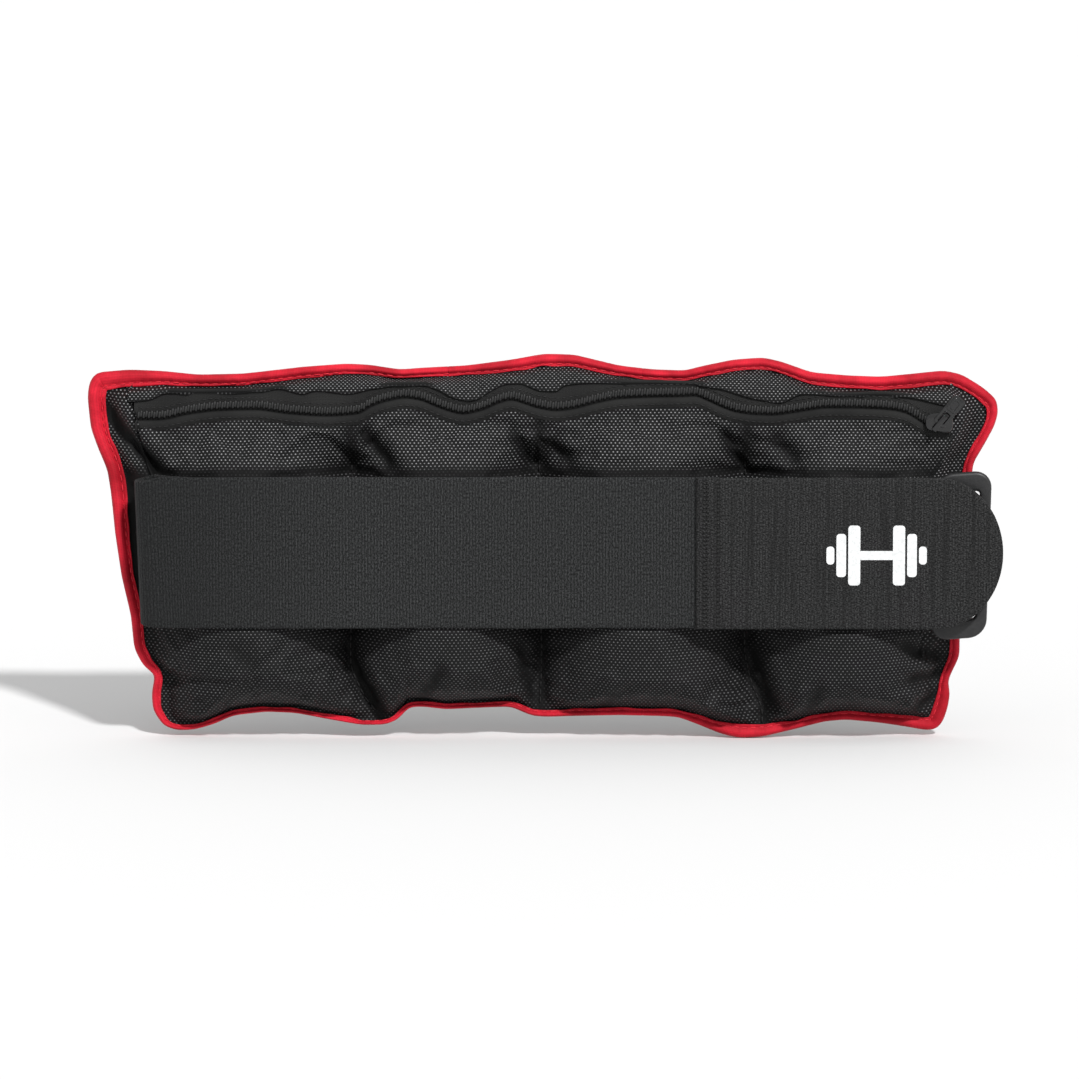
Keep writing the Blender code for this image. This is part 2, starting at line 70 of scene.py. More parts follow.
# The bound outline as (x, z): along the top, down the right end, along the bottom, up the left end
TOP = ((-149, 122.7), (-138, 123.7), (-127, 123.3), (-115, 122), (-100, 122.3), (-80, 124.7),
       (-66, 125.7), (-58, 125.3), (-48, 123.7), (-40, 124.3), (-26, 125), (-11, 127), (0, 129),
       (10, 128.7), (25, 125), (36, 123.7), (47, 123.3), (52, 124.7), (63, 127), (73, 127.7),
       (79, 126.3), (89, 122.7), (101, 121.7), (112, 121.3), (123, 122.3), (133, 123.3),
       (139, 122), (146, 117.7))
RIGHT = ((2, 131.5), (4.7, 133.7), (10, 135.3), (15, 136), (18.4, 135), (22, 136.5), (27, 139),
         (36, 139), (60, 141), (80, 142), (92.3, 143), (97.3, 146), (104.7, 150), (109.3, 151.3),
         (113.7, 150.7), (117.7, 146))
BOTTOM = ((-127.5, 3.3), (-123, 1.7), (-117, 2), (-110.5, 4), (-104, 7.1), (-93, 8.5), (-83, 8.1),
          (-73, 6.3), (-61, 4.3), (-53, 4.3), (-49, 5.8), (-45, 10.2), (-40, 10.2), (-33, 9.3),
          (-22, 9.8), (-11, 10.2), (-4, 7), (1, 6.7), (10, 7), (25, 7.3), (39, 7), (45, 6.7),
          (52, 4.1), (59, 1.3), (65, 0), (73, 0.3), (84, 2.7), (94, 5.2), (101, 5.7), (112, 4.5),
          (123, 2.7), (128, 1.7), (131.5, 2))
LEFT = ((3.3, -127.5), (8.8, -131), (15, -131.3), (21, -130), (24, -134), (30, -137), (41, -138),
        (54, -141), (68, -143), (82, -144.3), (90, -145.5), (97, -148.5), (104, -151),
        (114.5, -152), (119.7, -151.3), (122.7, -149))

# The meshed coil's lower line and the upper tape's top line, as (x, z)
COIL_LOW = ((-152, 108.6), (-128, 108.7), (-118, 110.6), (-108, 111.8), (-96, 112.1), (-84, 110.7),
            (-72, 110), (-62, 110.7), (-57, 113.3), (-52, 115), (-46, 116), (-41, 115.3),
            (-36, 113.3), (-31, 111.5), (-27, 110.7), (-21, 111.8), (-15, 114.3), (-11, 115.3),
            (-6, 114), (-2, 112.7), (4, 111.8), (9.5, 112.4), (17, 114.3), (25, 115.8), (36, 116.3),
            (46, 116.5), (50, 116.7), (54, 115.3), (59, 113), (64, 111.3), (70, 110.5),
            (75.5, 110.3), (82, 111), (87, 111.8), (94, 112.7), (101, 112.7), (108.5, 112.5),
            (115.5, 112), (120, 111), (124, 108.8), (127, 107), (131, 106.3), (152, 105.5))
# Where each seam lies at each height
SEAM_LINES = (((0, -56.5), (7, -55.5), (14, -60), (26, -64.6), (60, -64), (130, -64)),
              ((0, -1.3), (9, -1.3), (27, -0.8), (60, -1.5), (130, -1.5)),
              ((0, 72.5), (8, 73), (20, 69), (31, 67), (130, 67)))


def through(points):
    """A curve through (x, y) points that never overshoots them."""
    xs, ys = np.array(points, float).T
    steps = np.diff(ys) / np.diff(xs)
    before, after = steps[:-1], steps[1:]
    total = np.where(before * after > 0, before + after, 1.0)
    slopes = np.where(before * after > 0, 2 * before * after / total, 0.0)
    slopes = np.concatenate(([steps[0]], slopes, [steps[-1]]))

    def value(x):
        x = np.clip(x, xs[0], xs[-1])
        i = np.clip(np.searchsorted(xs, x, "right") - 1, 0, len(xs) - 2)
        span = xs[i + 1] - xs[i]
        t = (x - xs[i]) / span
        lift = (1 + 2 * t) * (1 - t) ** 2 * ys[i] + t * t * (3 - 2 * t) * ys[i + 1]
        return lift + span * (t * (1 - t) ** 2 * slopes[i] - t * t * (1 - t) * slopes[i + 1])

    return value


top_line, bottom_line, left_line, right_line, coil_line = map(
    through, (TOP, BOTTOM, LEFT, RIGHT, COIL_LOW))
seam_lines = [through(line) for line in SEAM_LINES]


def xyz(x, y, z):
    """Three coordinates, arrays or numbers, as one array of places."""
    return np.stack(np.broadcast_arrays(x, y, z), -1)


def smooth(t):
    """0 to 1 as t goes from 0 to 1, level at both."""
    t = np.clip(t, 0, 1)
    return t * t * (3 - 2 * t)


def ripple(x, z, size, seed):
    """Smooth noise in -1 to 1 with features about size across, from a seeded lattice."""
    lattice = np.random.default_rng(seed).uniform(-1, 1, (64, 64))
    x, z = np.asarray(x) / size + 31.3, np.asarray(z) / size + 11.7
    i, k = np.floor(x).astype(int), np.floor(z).astype(int)
    s, t = smooth(x - i), smooth(z - k)
    pick = lambda a, b: lattice[a % 64, b % 64]
    low = pick(i, k) * (1 - s) + pick(i + 1, k) * s
    high = pick(i, k + 1) * (1 - s) + pick(i + 1, k + 1) * s
    return low * (1 - t) + high * t


def sway(x, z):
    """The lower edge weaves, so the cuff stands: corners back, outer seams forward."""
    low = np.clip(1 - z / 30, 0, 1) ** 2
    corners = 2.8 * smooth((np.abs(x) - 90) / 30)
    forward = 2.6 * (np.exp(-(((x - SEAM_X[2]) / 18) ** 2)) + np.exp(-(((x - SEAM_X[0]) / 18) ** 2)))
    return low * (corners - forward)


def edge_wave(x, z):
    """The bound edge isn't flat: it weaves a little to the front and back."""
    away = np.minimum(np.minimum(top_line(x) - z, z - bottom_line(x)),
                      np.minimum(x - left_line(z), right_line(z) - x))
    return 0.9 * ripple(x, z, 24, 5) * smooth((z - 5) / 30) * smooth((8 - away) / 5)


def mid(x, z):
    return MID_Y + sway(x, z) + edge_wave(x, z)


TOP_WIDTH = ((-149, 6.2), (-139, 5.8), (-131, 4.8), (-120, 4.0), (-95, 4.0), (-66, 3.4), (-48, 3.0),
             (-30, 3.0), (-11, 3.9), (4, 4.1), (20, 3.4), (60, 3.6), (100, 4.2), (130, 4.6), (146, 4.4))
RIGHT_WIDTH = ((2, 5), (15, 4.6), (19, 3), (25, 3.4), (90, 3.4), (117, 4))
BOTTOM_WIDTH = ((-127.5, 2.4), (-110, 1.9), (-64, 1.9), (-10, 2.0), (0, 2.6), (45, 2.7), (58, 4),
                (68, 4.8), (76, 4), (88, 3), (118, 3.4), (124, 4.6), (133, 4.8))
LEFT_WIDTH = ((3, 3.2), (21, 3.0), (25, 3.7), (60, 4.5), (82, 5.4), (100, 5.8), (122.7, 6.2))
OUTLINE_STEP = 0.9


def lengths(points):
    """How far along a path each of its points is."""
    return np.concatenate(([0], np.cumsum(np.linalg.norm(np.diff(points, axis=0), axis=1))))


def outline():
    """The whole bound edge, clockwise from the top left: (x, z), inward direction and leaf width."""
    top, right, bottom, left = map(through, (TOP_WIDTH, RIGHT_WIDTH, BOTTOM_WIDTH, LEFT_WIDTH))
    points = [(x, z, top(x)) for x, z in TOP]
    points += [(x, z, right(z)) for z, x in reversed(RIGHT[:-1])]
    points += [(x, z, bottom(x)) for x, z in reversed(BOTTOM[:-1])]
    points += [(x, z, left(z)) for z, x in LEFT[1:-1]]
    points = np.array(points, float)
    looped = np.vstack((points, points[:1]))
    s = lengths(looped[:, :2])
    even = np.linspace(0, s[-1], int(s[-1] / OUTLINE_STEP), endpoint=False)
    dense = np.stack([np.interp(even, s, looped[:, k]) for k in range(3)], 1)
    kernel = np.exp(-0.5 * (np.arange(-6, 7) / 1.7) ** 2)
    kernel /= kernel.sum()
    dense = sum(w * np.roll(dense, shift, 0) for w, shift in zip(kernel, range(-6, 7)))
    tangent = np.roll(dense[:, :2], -1, 0) - np.roll(dense[:, :2], 1, 0)
    tangent /= np.linalg.norm(tangent, axis=1, keepdims=True)
    inward = np.stack((tangent[:, 1], -tangent[:, 0]), 1)
    return dense[:, :2], inward, dense[:, 2], even


edge_points, edge_inward, edge_width, edge_along = outline()


def leaf_gap(x, z):
    """How far in from the binding's inner edge each place is, in mm: negative under the binding."""
    place = np.stack((np.ravel(x), np.ravel(z)), 1)
    gap = np.empty(len(place))
    chunk = 4000
    for start in range(0, len(place), chunk):
        far = np.linalg.norm(place[start:start + chunk, None] - edge_points[None], axis=2)
        nearest = far.argmin(1)
        gap[start:start + chunk] = far[np.arange(len(nearest)), nearest] - edge_width[nearest]
    return gap.reshape(np.shape(x))


def under_binding(points, side, steep):
    """Keeps a cloth's border inside the binding's fold. The cloth rises from the fold's inner edge, by steep
    millimetres for each millimetre away from it."""
    x, y, z = points[..., 0], points[..., 1], points[..., 2]
    room = 0.8 + steep * np.maximum(0, leaf_gap(x, z) - 0.1)
    middle = mid(x, z)
    points[..., 1] = np.maximum(y, middle - room) if side < 0 else np.minimum(y, middle + room)
    return points


# ---------------------------------------------------------------- meshes

def new_object(name, vertices, faces, material, flat=None, smooth_faces=True):
    """A mesh object from millimetre vertices. flat is where each vertex lies on the uncut cloth, in mm, and
    its third number is the painted shade there, 0 to 1.
    """
    mesh = bpy.data.meshes.new(name)
    mesh.from_pydata([tuple(v) for v in np.asarray(vertices, float) * MM], [], [tuple(f) for f in faces])
    if flat is not None:
        layer = mesh.attributes.new("flat", "FLOAT_VECTOR", "POINT")
        layer.data.foreach_set("vector", np.asarray(flat, np.float32).ravel())
    mesh.update()
    obj = bpy.data.objects.new(name, mesh)
    bpy.context.scene.collection.objects.link(obj)
    mesh.materials.append(material)
    if smooth_faces:
        mesh.polygons.foreach_set("use_smooth", [True] * len(mesh.polygons))
    return obj


def grid_faces(columns, rows):
    """Quads of a grid whose vertex (i, k) is number i * rows + k."""
    return [(i * rows + k, (i + 1) * rows + k, (i + 1) * rows + k + 1, i * rows + k + 1)
            for i in range(columns - 1) for k in range(rows - 1)]


def only(obj):
    """Makes obj the active and only selected object."""
    bpy.context.view_layer.objects.active = obj
    for other in bpy.context.selected_objects:
        other.select_set(False)
    obj.select_set(True)


def apply(obj, kind, **settings):
    """Adds a modifier and applies it."""
    modifier = obj.modifiers.new(kind, kind)
    for key, value in settings.items():
        setattr(modifier, key, value)
    only(obj)
    bpy.ops.object.modifier_apply(modifier=modifier.name)
    return obj


def join(objects, name):
    """Several mesh objects as one."""
    only(objects[0])
    for obj in objects:
        obj.select_set(True)
    bpy.ops.object.join()
    objects[0].name = name
    return objects[0]


@contextmanager
def edited(obj):
    """The object's mesh as a bmesh, written back afterwards."""
    bm = bmesh.new()
    bm.from_mesh(obj.data)
    yield bm
    bm.to_mesh(obj.data)
    bm.free()


def face_out(obj):
    """Turns a closed mesh's faces outward."""
    with edited(obj) as bm:
        bmesh.ops.recalc_face_normals(bm, faces=bm.faces)
    return obj


def sweep(name, path, inward, profile, material):
    """A profile carried along a path of (x, y, z) in mm. At each path point it has its own closed profile,
    whose first number runs along inward and whose second runs along y."""
    count, rows = profile.shape[:2]
    points = path[:, None] + inward[:, None] * profile[:, :, :1] + np.array((0, 1, 0)) * profile[:, :, 1:2]
    flat = xyz(lengths(path)[:, None], lengths(profile[0]), 0.0)
    faces = grid_faces(count, rows)
    faces += [(i * rows + rows - 1, (i + 1) * rows + rows - 1, (i + 1) * rows, i * rows)
              for i in range(count - 1)]
    faces += [tuple(range(rows)), tuple((count - 1) * rows + k for k in reversed(range(rows)))]
    return face_out(new_object(name, points.reshape(-1, 3), faces, material, flat.reshape(-1, 3)))


CAPSULE_RINGS = np.array(((0.06, 0.62), (0.22, 0.95), (0.5, 1.0), (0.78, 0.95), (0.94, 0.62)))


def capsules(name, starts, ends, radius, material, squash=1.0, sides=6):
    """Short threads from starts to ends, each a closed capsule, as one mesh. squash flattens them along y."""
    starts, ends = np.asarray(starts, float), np.asarray(ends, float)
    axis = (ends - starts) / np.linalg.norm(ends - starts, axis=1, keepdims=True)
    side = np.cross(axis, (0, 1, 0))
    side /= np.linalg.norm(side, axis=1, keepdims=True)
    angle = 2 * math.pi * np.arange(sides)[:, None] / sides
    away = side[:, None] * np.cos(angle) + np.cross(side, axis)[:, None] * squash * np.sin(angle)
    t, width = CAPSULE_RINGS.T[:, :, None, None]
    rings = starts[:, None, None] + (ends - starts)[:, None, None] * t + radius * width * away[:, None]
    vertices = np.concatenate((starts[:, None], rings.reshape(len(starts), -1, 3), ends[:, None]), 1)
    last = len(CAPSULE_RINGS) * sides + 1
    loops = [(1 + k, 1 + (k + 1) % sides) for k in range(sides)]
    faces = [(0, n, k) for k, n in loops]
    faces += [(row + k, row + n, row + sides + n, row + sides + k)
              for row in range(0, last - 1 - sides, sides) for k, n in loops]
    faces += [(last - 1 - sides + k, last - 1 - sides + n, last) for k, n in loops]
    faces = [tuple(base + v for v in face) for base in range(0, len(starts) * (last + 1), last + 1)
             for face in faces]
    return face_out(new_object(name, vertices.reshape(-1, 3), faces, material))


# ---------------------------------------------------------------- materials

class Wire:
    """A node's output that can be calculated with like a number."""

    def __init__(self, graph, socket):
        self.graph, self.socket = graph, socket

    def __rsub__(self, other):
        return self.graph.math("SUBTRACT", other, self)

    def odd(self):
        """1 where the whole number is odd."""
        return self.graph.math("MODULO", abs(self), 2.0)

    def fine(self, size):
        """The number over size, less its whole part, centred: -0.5 to 0.5 across one thread."""
        return (self / size).fract() - 0.5

    def ramp(self, low, high, start=0.0, end=1.0):
        """Smoothly from start, where the number is low, to end, where it is high."""
        made = self.graph.tree.nodes.new("ShaderNodeMapRange")
        made.interpolation_type = "SMOOTHSTEP"
        for key, number in (("Value", self), ("From Min", low), ("From Max", high),
                            ("To Min", start), ("To Max", end)):
            self.graph.put(made.inputs[key], number)
        return Wire(self.graph, made.outputs[0])


for method, operation in (("__add__", "ADD"), ("__sub__", "SUBTRACT"), ("__mul__", "MULTIPLY"),
                          ("__rmul__", "MULTIPLY"), ("__truediv__", "DIVIDE"), ("__abs__", "ABSOLUTE"),
                          ("floor", "FLOOR"), ("fract", "FRACT"), ("root", "SQRT"), ("power", "POWER"),
                          ("or_more", "MAXIMUM")):
    setattr(Wire, method, lambda self, *other, does=operation: self.graph.math(does, self, *other))


class Graph:
    """Builds one material's nodes. x and z say where the surface lies on the uncut cloth, in mm, and the
    third number of flat is how much painted shade the surface gets, 0 to 1.
    """

    def __init__(self, name, **settings):
        self.material = bpy.data.materials.new(name)
        self.material.use_nodes = True
        self.tree = self.material.node_tree
        self.shader = self.tree.nodes["Principled BSDF"]
        for key, value in settings.items():
            self.set(key.replace("_", " "), value)
        flat = self.node("ShaderNodeAttribute", "Vector")
        flat.socket.node.attribute_name = "flat"
        # The third number is painted shade: 0 to 1, how dark the surface is painted where shade would fall.
        self.x, self.z, self.painted_shade = self.split(flat)

    def node(self, kind, output=0, **sockets):
        made = self.tree.nodes.new(kind)
        for key, value in sockets.items():
            self.put(made.inputs[key], value)
        return Wire(self, made.outputs[output])

    def put(self, socket, value):
        if isinstance(value, Wire):
            self.tree.links.new(value.socket, socket)
        elif isinstance(value, tuple):
            socket.default_value = (*value, 1)
        else:
            socket.default_value = value

    def set(self, name, value):
        self.put(self.shader.inputs[name], value)

    def math(self, operation, *values, clamp=False):
        made = self.tree.nodes.new("ShaderNodeMath")
        made.operation = operation
        made.use_clamp = clamp
        for socket, value in zip(made.inputs, values):
            self.put(socket, value)
        return Wire(self, made.outputs[0])

    def mix(self, factor, a, b):
        made = self.tree.nodes.new("ShaderNodeMix")
        made.data_type = "RGBA"
        for number, value in ((0, factor), (6, a), (7, b)):
            self.put(made.inputs[number], value)
        return Wire(self, made.outputs[2])

    def split(self, vector):
        made = self.tree.nodes.new("ShaderNodeSeparateXYZ")
        self.put(made.inputs[0], vector)
        return [Wire(self, output) for output in made.outputs]

    def join(self, x, y):
        return self.node("ShaderNodeCombineXYZ", X=x, Y=y)

    def noise(self, vector, scale, detail=2.0, roughness=0.5):
        return self.node("ShaderNodeTexNoise", Vector=vector, Scale=scale, Detail=detail,
                         Roughness=roughness)

    def place(self):
        """Where the point is on the object, in metres."""
        return self.node("ShaderNodeTexCoord", 3)

    def bump(self, height, distance, strength):
        """Bump whose height is in 0 to 1 and whose distance is in millimetres."""
        self.set("Normal", self.node("ShaderNodeBump", Height=height, Distance=distance * MM,
                                     Strength=strength))


DOT_WIDE, DOT_TALL = 1.36, 0.94


def dotted_cloth():
    """Rows of small light dots on a dark weave. The dots' light colour is partly their own and partly painted
    glint, and higher up they are painted brighter still, as painted light from above. The third number of
    flat is painted shade, 0 to 1: it darkens the cloth and fades the dots.
    """
    g = Graph("dotted_polyester", Specular_IOR_Level=0.16, Sheen_Weight=0.01, Sheen_Roughness=0.45)
    x, z = g.x, g.z
    row = (z / DOT_TALL).floor()
    across = x / DOT_WIDE + row.odd() * 0.5
    dx = (across.fract() - 0.5) * DOT_WIDE
    dz = z.fine(DOT_TALL) * DOT_TALL
    distance = (dx * dx * 0.62 + dz * dz).root()
    chance = g.node("ShaderNodeTexWhiteNoise", Vector=g.join(across.floor(), row))
    dot = distance.ramp(0.268, 0.12) * chance.ramp(-0.6, 1.0, 0.2, 1.0)
    # Painted shade fades the dots.
    dot *= g.math("SUBTRACT", 1.0, g.painted_shade, clamp=True).power(1.5)
    weft, warp = abs(z.fine(0.34)), abs(x.fine(0.30))
    weave = weft * warp + weft * 0.4
    cloudy = g.noise(g.place(), 38.0, 3.0)
    base = g.mix(cloudy.ramp(0.3, 0.75), (0.0006, 0.0006, 0.0008), (0.0028, 0.0028, 0.0030))
    thread = g.mix(weave.ramp(0.0, 0.35), base, (0.0056, 0.0056, 0.0058))
    # Painted light: the dots grow lighter higher up the cuff, where the light from above falls.
    painted_top_light = g.split(g.place())[2].ramp(0.03, 0.095)
    dotted = g.mix(dot, thread, g.mix(painted_top_light, (0.105, 0.105, 0.106), (0.235, 0.235, 0.238)))
    # Painted shade darkens the cloth to near black.
    painted_shade_mix = g.math("MULTIPLY", g.painted_shade, 0.85, clamp=True)
    g.set("Base Color", g.mix(painted_shade_mix, dotted, (0.0006, 0.0006, 0.0006)))
    g.set("Roughness", 0.72 - dot * 0.3)
    g.bump(dot * 0.8 + weave * 0.7, 0.16, 0.9)
    return g.material


def plain_cloth(name, low, high, thread, depth, sheen, roughness):
    """A plain weave: colour runs between low and high, with threads of that size in mm. The third number of
    flat is painted shade, 0 to 1, which darkens it in the narrow gaps where shade falls."""
    g = Graph(name, Roughness=roughness, Specular_IOR_Level=0.14, Sheen_Weight=sheen, Sheen_Roughness=0.5)
    warp, weft = 0.5 - abs(g.x.fine(thread)), 0.5 - abs(g.z.fine(thread))
    turn = ((g.x / thread).floor() + (g.z / thread).floor()).odd()
    weave = warp * turn + weft * (1.0 - turn)
    base = g.mix(g.noise(g.place(), 45.0, 3.0).ramp(0.3, 0.72), low, high)
    # Darker thread edges, or the painted shade where that is darker still.
    dark = weave.ramp(0.5, 0.0, 0.0, 0.45).or_more(g.painted_shade)
    g.set("Base Color", g.mix(dark, base, (0.0, 0.0, 0.0)))
    g.bump(weave, depth, 0.8)
    return g.material


def ribbed_elastic():
    """Elastic: vertical ribs about a millimetre apart, crossed by fine weft, with a speckle of yarn. Painted
    shade darkens the grooves between ribs, and painted light makes the band lighter towards the right.
    """
    g = Graph("woven_elastic", Roughness=0.8, Specular_IOR_Level=0.14, Sheen_Weight=0.03, Sheen_Roughness=0.5)
    x, z = g.x, g.z
    wander = (g.noise(g.join(x * 0.05, z * 0.05), 3.0) - 0.5) * 0.5
    rib = 1.0 - 2.0 * abs((x + wander).fine(1.05))
    weft = 1.0 - 2.0 * abs(z.fine(0.42))
    grain = g.noise(g.join(x * 1.25, z * 0.8), 1.8, 2.0, 0.75)
    # Painted light: the band is lighter towards the right.
    lit = g.mix(x.ramp(12.0, 90.0), (0.0225, 0.0234, 0.0238), (0.0375, 0.0388, 0.0394))
    base = g.mix(grain.ramp(0.38, 0.64), (0.0030, 0.0034, 0.0035), lit)
    # Painted shade in the grooves between the ribs.
    g.set("Base Color", g.mix(rib.ramp(0.55, 0.0) * 0.65, base, (0.004, 0.004, 0.0043)))
    g.bump(rib.ramp(0.0, 0.9) * 0.6 + weft * (rib * 0.45), 0.2, 0.85)
    return g.material


BEAD_WIDE, BEAD_TALL = 0.95, 0.8


def pebbled_tape():
    """The hook side's backing: a knitted face with small round bumps and uneven upright furrows."""
    g = Graph("hook_tape_back", Roughness=0.72, Specular_IOR_Level=0.16, Sheen_Weight=0.03,
              Sheen_Roughness=0.5)
    x, z = g.x, g.z
    shift = (x / BEAD_WIDE).floor().odd() * 0.5
    dx = x.fine(BEAD_WIDE) * BEAD_WIDE
    dz = ((z / BEAD_TALL + shift).fract() - 0.5) * BEAD_TALL
    bead = (dx * dx + dz * dz).root().ramp(0.48, 0.08)
    grain = g.noise(g.join(x, z), 1.65, 2.0, 0.75)
    furrow = g.noise(g.join(x, z * 0.03), 0.75, 1.0).ramp(0.52, 0.36)
    base = g.mix(grain.ramp(0.39, 0.63), (0.0015, 0.0015, 0.0017), (0.0345, 0.0348, 0.035))
    dark = (bead.ramp(0.5, 0.0) * 0.5).or_more(furrow * 0.6)
    # The two stitch columns are painted dark: partly the dark thread's own colour, partly painted shade in
    # the dents the stitches pull in.
    thread_and_dent_shade = abs(z.fine(1.35)).ramp(0.38, 0.18)
    for stitch_column in (53.2, 57.6):
        dark = dark.or_more(abs(x - stitch_column).ramp(0.95, 0.45) * thread_and_dent_shade * 0.85)
    g.set("Base Color", g.mix(dark, base, (0.003, 0.003, 0.003)))
    g.bump(bead * 0.55 + grain * 0.7, 0.2, 0.85)
    return g.material


def bound_tape():
    """Red polyester binding: fine cross ribs, darker along their edges, over a red that varies at random."""
    g = Graph("red_binding", Roughness=0.65, Specular_IOR_Level=0.14, Sheen_Weight=0.03, Sheen_Roughness=0.4)
    weave = abs(g.x.fine(0.52)) + abs(g.z.fine(0.46)) * 0.7
    cloudy = g.noise(g.place(), 55.0, 5.0, 0.65)
    base = g.mix(cloudy.ramp(0.34, 0.68), (0.31, 0.0045, 0.0125), (0.60, 0.0135, 0.032))
    g.set("Base Color", g.mix(weave.ramp(0.35, 0.85, 0.0, 0.5), base, (0.14, 0.0018, 0.006)))
    g.bump(1.0 - weave, 0.09, 0.8)
    return g.material


def grained(name, low, high, scale, depth, **settings):
    """Moulded, enamelled or loose stuff: noise grain over a colour that runs from low to high."""
    g = Graph(name, **settings)
    grain = g.noise(g.place(), scale, 4.0, 0.6)
    g.set("Base Color", g.mix(grain.ramp(0.3, 0.7), low, high))
    worn = g.noise(g.place(), scale * 0.12, 3.0)
    rough = settings["Roughness"]
    g.set("Roughness", worn.ramp(0.3, 0.7, rough * 0.85, min(1.0, rough * 1.2)))
    g.bump(grain, depth, 0.6)
    return g.material


CLOTH = dotted_cloth()
TAPE = plain_cloth("zip_tape_weave", (0.0125, 0.0125, 0.0123), (0.022, 0.022, 0.0215), 0.5, 0.12, 0.02, 0.75)
WELT = plain_cloth("zip_welt_weave", (0.010, 0.010, 0.010), (0.0185, 0.0185, 0.018), 0.42, 0.12, 0.02, 0.75)
BACK = plain_cloth("leg_side_nylon", (0.017, 0.017, 0.0175), (0.033, 0.033, 0.034), 0.9, 0.2, 0.08, 0.85)
ELASTIC = ribbed_elastic()
HOOK = pebbled_tape()
BINDING = bound_tape()
WEB = plain_cloth("ring_webbing_weave", (0.006, 0.006, 0.0063), (0.014, 0.014, 0.0143), 0.9, 0.25, 0.03, 0.78)
COIL = grained("coil_nylon", (0.010, 0.010, 0.010), (0.020, 0.020, 0.020), 900.0, 0.02,
               Roughness=0.5, Specular_IOR_Level=0.28)
RING = grained("ring_acetal", (0.012, 0.012, 0.0125), (0.018, 0.018, 0.0185), 1400.0, 0.02,
               Roughness=0.42, Specular_IOR_Level=0.35)
ENAMEL = grained("slider_enamel", (0.0015, 0.0015, 0.0017), (0.0035, 0.0035, 0.0038), 700.0, 0.02,
                 Roughness=0.16, Specular_IOR_Level=0.4, Coat_Weight=0.4, Coat_Roughness=0.06)
RED_THREAD = grained("red_thread", (0.36, 0.0055, 0.015), (0.60, 0.012, 0.030), 2500.0, 0.05,
                     Roughness=0.6, Specular_IOR_Level=0.35)
DARK_THREAD = grained("dark_thread", (0.002, 0.002, 0.002), (0.010, 0.010, 0.010), 2500.0, 0.05,
                      Roughness=0.6, Specular_IOR_Level=0.35)
PRINT = grained("white_print", (0.52, 0.53, 0.53), (0.66, 0.67, 0.67), 900.0, 0.05,
                Roughness=0.55, Specular_IOR_Level=0.3)
NYLON = grained("inner_bag_nylon", (0.20, 0.20, 0.19), (0.30, 0.30, 0.29), 500.0, 0.1, Roughness=0.6)
SAND = grained("iron_sand_grains", (0.04, 0.035, 0.03), (0.16, 0.14, 0.13), 1800.0, 0.4, Roughness=0.5,
               Metallic=0.7)

# ---------------------------------------------------------------- cloth grids

COLUMNS = 44
UPPER_LINE = ((-137, 114), (-131, 114.7), (-125, 117), (-108, 117), (-94, 117.3), (-88, 118.3),
              (-80, 116.7), (-76, 117.7), (-65, 116.7), (-57, 118.3), (-47, 119.5), (-40, 119.5),
              (-35, 118), (-30, 115.4), (-25, 114.4), (-22, 115), (-18, 117.4), (-12, 120),
              (-8, 120.1), (-4, 118.7), (-1, 117.7), (4, 117.6), (7, 119.6), (14, 120.3),
              (25, 120.1), (35, 120), (46, 119.8), (57, 118.6), (70, 115), (78, 113.7), (86, 116.6),
              (100, 115.9), (112, 116.2), (122, 115.4), (132, 113), (137, 112))
upper_line = through(UPPER_LINE)
TAPE_ENDS = (-136.0, 133.5)
SHEET_INSET = 1.1


def cloth_grid(low, high, rows, ends=None):
    """(x, z) of a grid over the cuff: 4 * COLUMNS columns that follow the seams, rows from low to high. It
    ends at those two x places, or else just inside the outline."""
    column, row = np.indices((4 * COLUMNS + 1, rows + 1))
    pouch = np.minimum(column // COLUMNS, 3)
    share = (column - pouch * COLUMNS) / COLUMNS
    x, z = -150 + 300 * column / (4 * COLUMNS), 60.0 + 0.0 * column
    for _ in range(6):
        left, right = ends or (left_line(z) + SHEET_INSET, right_line(z) - SHEET_INSET)
        sides = np.array([left + 0 * z, *(line(z) for line in seam_lines), right + 0 * z])
        a = np.take_along_axis(sides, pouch[None], 0)[0]
        b = np.take_along_axis(sides, pouch[None] + 1, 0)[0]
        x = a + (b - a) * share
        z = low(x) + (high(x) - low(x)) * (row / rows)
    return x, z


def across(x, z, end=5.6, seam=1.3):
    """Place across a pouch, -1 to 1 between its seams, and 1 on a seam or beyond an end."""
    lines = [left_line(z) + end, *(line(z) for line in seam_lines), right_line(z) - end]
    best = np.ones(np.shape(x))
    for k in range(4):
        a = lines[k] + (seam if k else 0)
        b = lines[k + 1] - (seam if k < 3 else 0)
        best = np.where((x >= a) & (x <= b), 2 * (x - a) / (b - a) - 1, best)
    return best


def end_fall(x, z):
    """1 along the zip, falling to 0 at the cuff's two end flanges."""
    return smooth(np.minimum(x - left_line(z) - 5.6, right_line(z) - 5.6 - x) / 9)


ZIP_RISE = 9.8
BACK_LIMIT = 17.3
BAG_POWER = 2.3
FRONT_DEPTH, BACK_DEPTH = 18.6, 10.0
ZIP_COLUMNS = (7, 170)


def front_height(x, z):
    """How far the front stands out, in mm: full lobes below, and level with the zip at the top."""
    place = across(x, z)
    floor_z = bottom_line(x) + 3.6
    t = (z - floor_z) / (coil_line(x) - 1 - floor_z)
    rise = np.clip((z - floor_z) / 13, 0, 1)
    lobe = FRONT_DEPTH * (1 - np.abs(place) ** 3.0) * np.sqrt(1 - (1 - rise) ** 2)
    lobe *= 1 - 0.40 * smooth((t - 0.55) / 0.45)
    near = smooth((t - 0.8) / 0.17)
    return lobe * (1 - near) + ZIP_RISE * end_fall(x, z) * near


